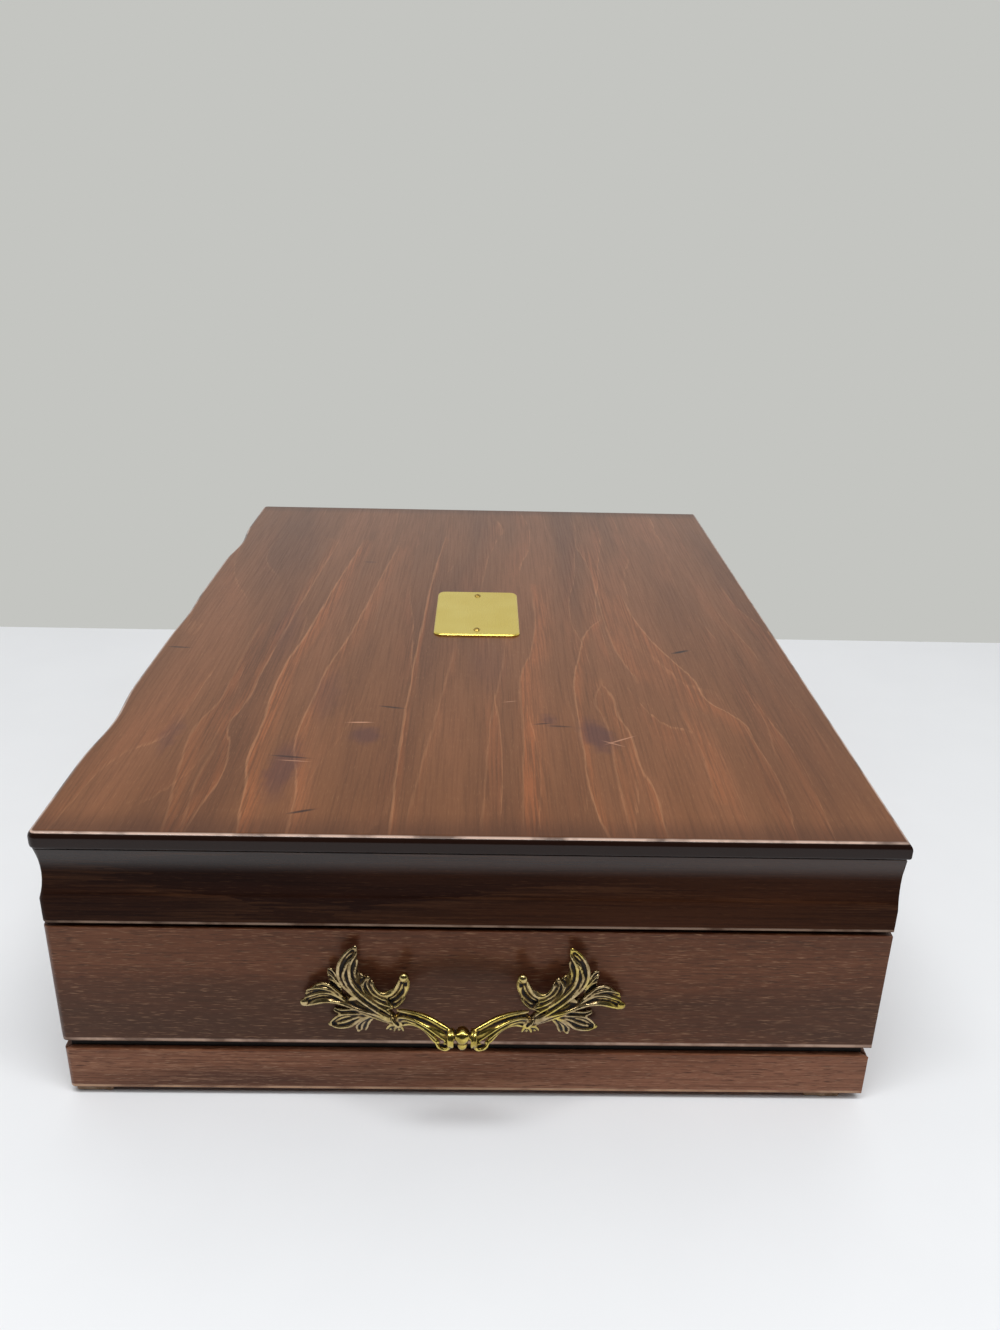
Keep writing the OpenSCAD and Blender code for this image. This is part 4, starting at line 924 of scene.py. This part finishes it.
# Cast brass, dipped in a dark oxide and rubbed back: near-black recesses, silvery-gold ribs, and
# yellower brass where hands have polished the grip
def antiqueBrass():
    made, tree, shader, place = newMaterial("antiqued_cast_brass")
    recess = addNode(tree, "Attribute", {"attribute_name": "recess"}).outputs["Fac"]
    cloud = addNode(tree, "TexNoise", Vector=place, Scale=0.35, Detail=3.0)
    grit = addNode(tree, "TexNoise", Vector=place, Scale=2.6, Detail=3.0)
    offset = addNode(tree, "Math", timesPlus, i0=cloud, i1=0.05, i2=recess)
    axes = addNode(tree, "SeparateXYZ", Vector=place)
    across = addNode(tree, "Math", {"operation": "SUBTRACT"}, i0=axes.outputs["Y"],
                     i1=middleY * perMetre + pull["shift"])
    sideways = addNode(tree, "Math", {"operation": "ABSOLUTE"}, i0=across)
    # the grip is polished by hands; cloth has brightened some leaves, those of the back half most
    handled = addNode(tree, "MapRange", eased, Value=sideways, From_Min=26.0, From_Max=12.0)
    patch = addNode(tree, "TexNoise", Vector=place, Scale=0.085, Detail=2.0)
    patch = addNode(tree, "MapRange", eased, Value=patch, From_Min=0.44, From_Max=0.6)
    back = addNode(tree, "MapRange", Value=across, From_Min=-40.0, From_Max=25.0, To_Min=0.2)
    wiped = addNode(tree, "Math", times, i0=patch, i1=back)
    handled = addNode(tree, "Math", {"operation": "MAXIMUM"}, i0=handled, i1=wiped)
    metal = addNode(tree, "Mix", tinted, i0=handled, i6="#C4AE84", i7="#DAC469")
    tarnish = addNode(tree, "ValToRGB", stops=((0.35, "#8A7C62"), (0.6, "#FFFFFF")), Fac=cloud)
    metal = addNode(tree, "Mix", darkened, i0=0.6, i6=metal, i7=tarnish)
    oxide = addNode(tree, "MapRange", eased, Value=offset, From_Min=-0.01, From_Max=0.1)
    shade = addNode(tree, "ValToRGB", Fac=oxide,
                    stops=((0.0, "#FFFFFF"), (0.3, "#A8967A"), (0.6, "#4E3C28"), (1.0, "#160C05")))
    tint = addNode(tree, "Mix", darkened, i0=1.0, i6=metal, i7=shade)
    rough = addNode(tree, "MapRange", Value=oxide, To_Min=0.2, To_Max=0.6)
    bare = addNode(tree, "MapRange", Value=oxide, To_Min=1.0, To_Max=0.25)     # oxide hides it
    bump = addNode(tree, "Bump", Strength=0.3, Distance=0.08 * mm, Height=grit)
    setShader(tree, shader, Base_Color=tint, Metallic=bare, Roughness=rough, Normal=bump)
    return made


castBrass = antiqueBrass()
rightPull = castPull(pull)
markRecesses(rightPull)
leftPull = rightPull.copy()
leftPull.data = rightPull.data.copy()
leftPull.name = leftPull.data.name = "leaf_pull_left"
bpy.context.scene.collection.objects.link(leftPull)
leftPull.scale.x = -1
work(leftPull)
bpy.ops.object.transform_apply(location=False, rotation=False, scale=True)
turnOutwards(leftPull)
settle(rightPull, "case", (castBrass,), ["right_handle"])
settle(leftPull, "case", (castBrass,), ["left_handle"])
print("pulls:", len(rightPull.data.polygons), "faces each")


# Rolled brass, polished and lacquered: an even yellow mirror, a little hazed, with hairlines
def polishedBrass():
    made, tree, shader, place = newMaterial("polished_lacquered_brass")
    stretched = addNode(tree, "Mapping", Vector=place, Scale=(1 / 30, 1 / 0.35, 1))
    hairline = addNode(tree, "TexNoise", Vector=stretched, Scale=1.0, Detail=3.0)
    cloud = addNode(tree, "TexNoise", Vector=place, Scale=0.05, Detail=2.0)
    tint = addNode(tree, "ValToRGB", stops=((0.35, "#EAD160"), (0.65, "#F0DA70")), Fac=cloud)
    rough = addNode(tree, "MapRange", Value=hairline, From_Min=0.3, From_Max=0.7, To_Min=0.24,
                    To_Max=0.28)
    bump = addNode(tree, "Bump", Strength=0.02, Distance=0.01 * mm, Height=hairline)
    setShader(tree, shader, Base_Color=tint, Metallic=1.0, Roughness=rough, Normal=bump)
    return made


# Brass-plated steel of the hinges: stamped, so faintly wavy, with dulled and darker patches
def platedBrass():
    made, tree, shader, place = newMaterial("brass_plated_steel")
    cloud = addNode(tree, "TexNoise", Vector=place, Scale=0.22, Detail=4.0)
    grit = addNode(tree, "TexNoise", Vector=place, Scale=3.0, Detail=2.0)
    tint = addNode(tree, "ValToRGB", stops=((0.3, "#8A7038"), (0.5, "#BFA152"), (0.7, "#CDB062")),
                   Fac=cloud)
    rough = addNode(tree, "MapRange", Value=cloud, From_Min=0.3, From_Max=0.7, To_Min=0.45,
                    To_Max=0.26)
    bump = addNode(tree, "Bump", Strength=0.1, Distance=0.03 * mm, Height=grit)
    setShader(tree, shader, Base_Color=tint, Metallic=1.0, Roughness=rough, Normal=bump)
    return made


# Zinc-plated steel screws and pins: cool grey, satin, with a drawn wire's fine rings
def zincSteel():
    made, tree, shader, place = newMaterial("zinc_plated_steel")
    cloud = addNode(tree, "TexNoise", Vector=place, Scale=0.5, Detail=3.0)
    rings = addNode(tree, "TexWave", {"bands_direction": "X"}, Vector=place, Scale=0.8)
    tint = addNode(tree, "ValToRGB", stops=((0.3, "#85878A"), (0.7, "#B4B6B7")), Fac=cloud)
    rough = addNode(tree, "MapRange", Value=rings, To_Min=0.3, To_Max=0.42)
    setShader(tree, shader, Base_Color=tint, Metallic=1.0, Roughness=rough)
    return made


# Brown flannel treated against tarnish: a short brushed nap over a plain weave, soft and matt,
# with lighter and darker places where the nap lies over
def flannel():
    made, tree, shader, place = newMaterial("napped_brown_flannel")
    nap = addNode(tree, "TexNoise", Vector=place, Scale=1.6, Detail=5.0, Roughness=0.7)
    lie = addNode(tree, "TexNoise", Vector=place, Scale=0.035, Detail=3.0)
    spacing = 1.6         # mm between threads; real ones are about 0.5, drawn so that they show
    threads = addNode(tree, "VectorMath", {"operation": "SCALE"}, i0=place,
                      Scale=2 * math.pi / spacing)
    waves = addNode(tree, "VectorMath", {"operation": "SINE"}, i0=threads)
    lengths = addNode(tree, "SeparateXYZ", Vector=waves)
    weave = addNode(tree, "Math", {"operation": "ADD"}, i0=lengths.outputs["X"],
                    i1=lengths.outputs["Y"])
    weave = addNode(tree, "Math", {"operation": "ADD"}, i0=weave, i1=lengths.outputs["Z"])
    relief = addNode(tree, "Math", timesPlus, i0=weave, i1=0.06, i2=nap)
    base = addNode(tree, "ValToRGB", stops=((0.3, "#45281F"), (0.5, "#513027"), (0.7, "#5C382E")),
                   Fac=lie)
    fluff = addNode(tree, "ValToRGB", stops=((0.35, "#B8B0AC"), (0.65, "#FFFFFF")), Fac=relief)
    tint = addNode(tree, "Mix", darkened, i0=0.8, i6=base, i7=fluff)
    bump = addNode(tree, "Bump", Strength=0.5, Distance=0.25 * mm, Height=relief)
    setShader(tree, shader, Base_Color=tint, Roughness=0.95, IOR=1.45, Specular_IOR_Level=0.2,
              Sheen_Weight=0.35, Sheen_Roughness=0.4, Sheen_Tint="#C9A596", Normal=bump)
    return made


# Pressed wool felt, tan and grubby: no weave, matted fibres, darker where it has picked up dirt
def woolFelt(name, dark, middle, pale):
    made, tree, shader, place = newMaterial(name)
    fibres = addNode(tree, "TexNoise", {"noise_type": "RIDGED_MULTIFRACTAL"}, Vector=place,
                     Scale=0.9, Detail=5.0)
    dirt = addNode(tree, "TexNoise", Vector=place, Scale=0.22, Detail=4.0)
    tint = addNode(tree, "ValToRGB", stops=((0.3, dark), (0.5, middle), (0.68, pale)), Fac=dirt)
    fine = addNode(tree, "MapRange", Value=fibres, From_Max=1.5)
    shade = addNode(tree, "ValToRGB", stops=((0.1, "#A9A19B"), (0.8, "#FFFFFF")), Fac=fine)
    tint = addNode(tree, "Mix", darkened, i0=0.7, i6=tint, i7=shade)
    bump = addNode(tree, "Bump", Strength=0.7, Distance=0.3 * mm, Height=fibres)
    setShader(tree, shader, Base_Color=tint, Roughness=0.97, IOR=1.45, Specular_IOR_Level=0.15,
              Sheen_Weight=0.3, Sheen_Roughness=0.5, Sheen_Tint="#D8C2AE", Normal=bump)
    return made


# Hardboard bottom, stained on its edge and underneath: dark, dry and pressed from fibres
def rawPanel():
    made, tree, shader, place = newMaterial("stained_hardboard")
    specks = addNode(tree, "TexNoise", Vector=place, Scale=0.9, Detail=4.0, Roughness=0.65)
    cloud = addNode(tree, "TexNoise", Vector=place, Scale=0.02, Detail=3.0)
    base = addNode(tree, "ValToRGB", stops=((0.35, "#120A06"), (0.65, "#22140E")), Fac=cloud)
    shade = addNode(tree, "ValToRGB", stops=((0.35, "#9C948E"), (0.65, "#FFFFFF")), Fac=specks)
    tint = addNode(tree, "Mix", darkened, i0=0.8, i6=base, i7=shade)
    bump = addNode(tree, "Bump", Strength=0.3, Distance=0.1 * mm, Height=specks)
    setShader(tree, shader, Base_Color=tint, Roughness=0.8, IOR=1.5, Normal=bump)
    return made


plateBrass, hingeBrass, steel, cloth = polishedBrass(), platedBrass(), zincSteel(), flannel()
padFelt = woolFelt("tan_wool_felt", "#86694F", "#B4957A", "#CDB298")
bumperFelt = woolFelt("brown_wool_felt", "#4A342A", "#5E4437", "#73574A")


def dressNode(node, material):      # a CAD node that stays, with its better material
    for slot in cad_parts[node].material_slots:
        slot.material = material


dressNode("bottom_panel", rawPanel())
dressNode("handle_screws", steel)
dressNode("hinge_pins", steel)

screwLook = {
    "slotWidth": 0.42,        # mm
    "slotDepth": 0.45,
    "turns": (17, 71, 38, 102, 5, 84, 131, 52),    # degrees that the slots happen to stand at
}


def slotScrews(piece, places, length, top):     # cuts a driver's slot in each head
    cutters = []
    size = (length * mm, screwLook["slotWidth"] * mm, 2 * screwLook["slotDepth"] * mm)
    for (x, y), turn in zip(places, screwLook["turns"]):
        deselectAll()
        bpy.ops.mesh.primitive_cube_add(
            size=1, scale=size, location=(x, y, top), rotation=(0, 0, math.radians(turn)))
        cutters.append(takeNew("slot"))
    cutter = joinAll(cutters, "slots")
    applyModifier(piece, "BOOLEAN", operation="DIFFERENCE", object=cutter, solver="EXACT")
    bpy.data.objects.remove(cutter)
    return piece


def spreadOf(node):       # the middles of a node's separate solids, seen from above
    mesh = bmesh.new()
    mesh.from_mesh(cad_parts[node].data)
    bmesh.ops.remove_doubles(mesh, verts=mesh.verts, dist=1e-6)
    left, middles = set(mesh.verts), []
    while left:
        reached = [left.pop()]
        for vertex in reached:
            for edge in vertex.link_edges:
                other = edge.other_vert(vertex)
                if other in left:
                    left.remove(other)
                    reached.append(other)
        xs, ys = [v.co.x for v in reached], [v.co.y for v in reached]
        middles.append(((min(xs) + max(xs)) / 2, (min(ys) + max(ys)) / 2))
    mesh.free()
    return sorted(middles)


# Name plate: the blank plate with its edge eased, and its two round-headed screws
plate = softenEdges(copyNode("name_plate", "blank_name_plate"), 0.12 * mm, sharp=20)
smooth(plate, 40)
settle(plate, "lid", (plateBrass,), ["name_plate"])
plateScrews = copyNode("name_plate_screws", "plate_screws")
slotScrews(plateScrews, spreadOf("name_plate_screws"), 4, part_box("name_plate_screws")[1].z)
smooth(plateScrews, 40)
settle(plateScrews, "lid", (hingeBrass,), ["name_plate_screws"])

# Butt hinges: leaves with eased edges and countersunk screws with slots
for node, name, body in (("base_hinge_leaves", "case_hinge_leaves", "case"),
                         ("lid_hinge_leaves", "lid_hinge_leaves_finished", "lid")):
    leaves = softenEdges(copyNode(node, name), 0.1 * mm, sharp=50)
    smooth(leaves, 40)
    settle(leaves, body, (hingeBrass,), [node])
for node, name, body, side in (("base_hinge_screws", "case_hinge_screws_slotted", "case", 1),
                               ("lid_hinge_screws", "lid_hinge_screws_slotted", "lid", 0)):
    screws = copyNode(node, name)
    slotScrews(screws, spreadOf(node), 5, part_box(node)[side].z)
    smooth(screws, 40)
    settle(screws, body, (hingeBrass,), [node])
print("brass: plate, hinges and screws")

# Cloth-covered trays, bars and divider: the cloth turns softly over every edge
clothPieces = (
    # node, name, softening in mm, body
    ("base_lining", "case_cloth_lining", 0.6, "case"),
    ("lid_lining", "lid_cloth_lining", 0.6, "lid"),
    ("compartment_divider", "cloth_divider", 1.6, "case"),
    ("flatware_bar_front", "cloth_flatware_bar_front", 1.3, "case"),
    ("flatware_bar_back", "cloth_flatware_bar_back", 1.3, "case"),
    ("knife_bar_front", "cloth_knife_bar_front", 1.0, "lid"),
    ("knife_bar_back", "cloth_knife_bar_back", 1.0, "lid"),
)
for node, name, width, body in clothPieces:
    piece = softenEdges(copyNode(node, name), width * mm, steps=4, sharp=40)
    smooth(piece, 50)
    settle(piece, body, (cloth,), [node])
print("cloth:", len(clothPieces))

# Felt pads under the plinth's corners: cut squares, squashed a little, frayed at their sides
feltPads = {
    "side": 13.0, "fray": 0.35,       # mm
    "round": (0.3, 0.9),              # its edges: share of the thickness, but at most so many mm
    "fine": (0.5, 2.2),               # lumps and fibres to the mm
    "fineShare": 0.3,                 # of the fray, for the fibres
}


def feltBlock(low, high, disc=False):
    deselectAll()
    middle, size = (low + high) / 2, high - low
    if disc:
        bpy.ops.mesh.primitive_cylinder_add(
            vertices=40, radius=size.x / 2, depth=size.z, location=middle)
    else:
        bpy.ops.mesh.primitive_cube_add(size=1, location=middle, scale=size)
    block = takeNew("felt")
    share, most = feltPads["round"]
    softenEdges(block, min(size.z * share, most * mm), steps=3, sharp=50)
    work(block)
    bpy.ops.object.mode_set(mode="EDIT")
    bpy.ops.mesh.select_all(action="SELECT")
    bpy.ops.mesh.quads_convert_to_tris()
    bpy.ops.mesh.subdivide(number_cuts=3)
    bpy.ops.object.mode_set(mode="OBJECT")
    for vertex in block.data.vertices:
        if vertex.co.z > high.z - 0.2 * mm:
            continue                       # glued face stays flat
        lumps, fibres = (noise.noise_vector(vertex.co * perMetre * fine)
                         for fine in feltPads["fine"])
        place = vertex.co + (lumps + fibres * feltPads["fineShare"]) * feltPads["fray"] * mm
        vertex.co = (min(max(place.x, low.x), high.x), min(max(place.y, low.y), high.y),
                     min(max(place.z, low.z), high.z))
    return turnOutwards(block)


low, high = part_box("foot_pads")
side = feltPads["side"] * mm
pads = []
for x in (low.x, high.x - side):
    for y in (low.y, high.y - side):
        pads.append(feltBlock(Vector((x, y, low.z)), Vector((x + side, y + side, high.z))))
feet = smooth(joinAll(pads, "felt_feet"), 60, weighted=False)
settle(feet, "case", (padFelt,), ["foot_pads"])
low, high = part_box("lid_bumpers")
across = high.y - low.y
bumpers = [feltBlock(Vector((x, low.y, low.z)), Vector((x + across, high.y, high.z)), disc=True)
           for x in (low.x, high.x - across)]
bumpers = smooth(joinAll(bumpers, "felt_bumpers"), 60, weighted=False)
settle(bumpers, "case", (bumperFelt,), ["lid_bumpers"])
print("felt: feet and bumpers")
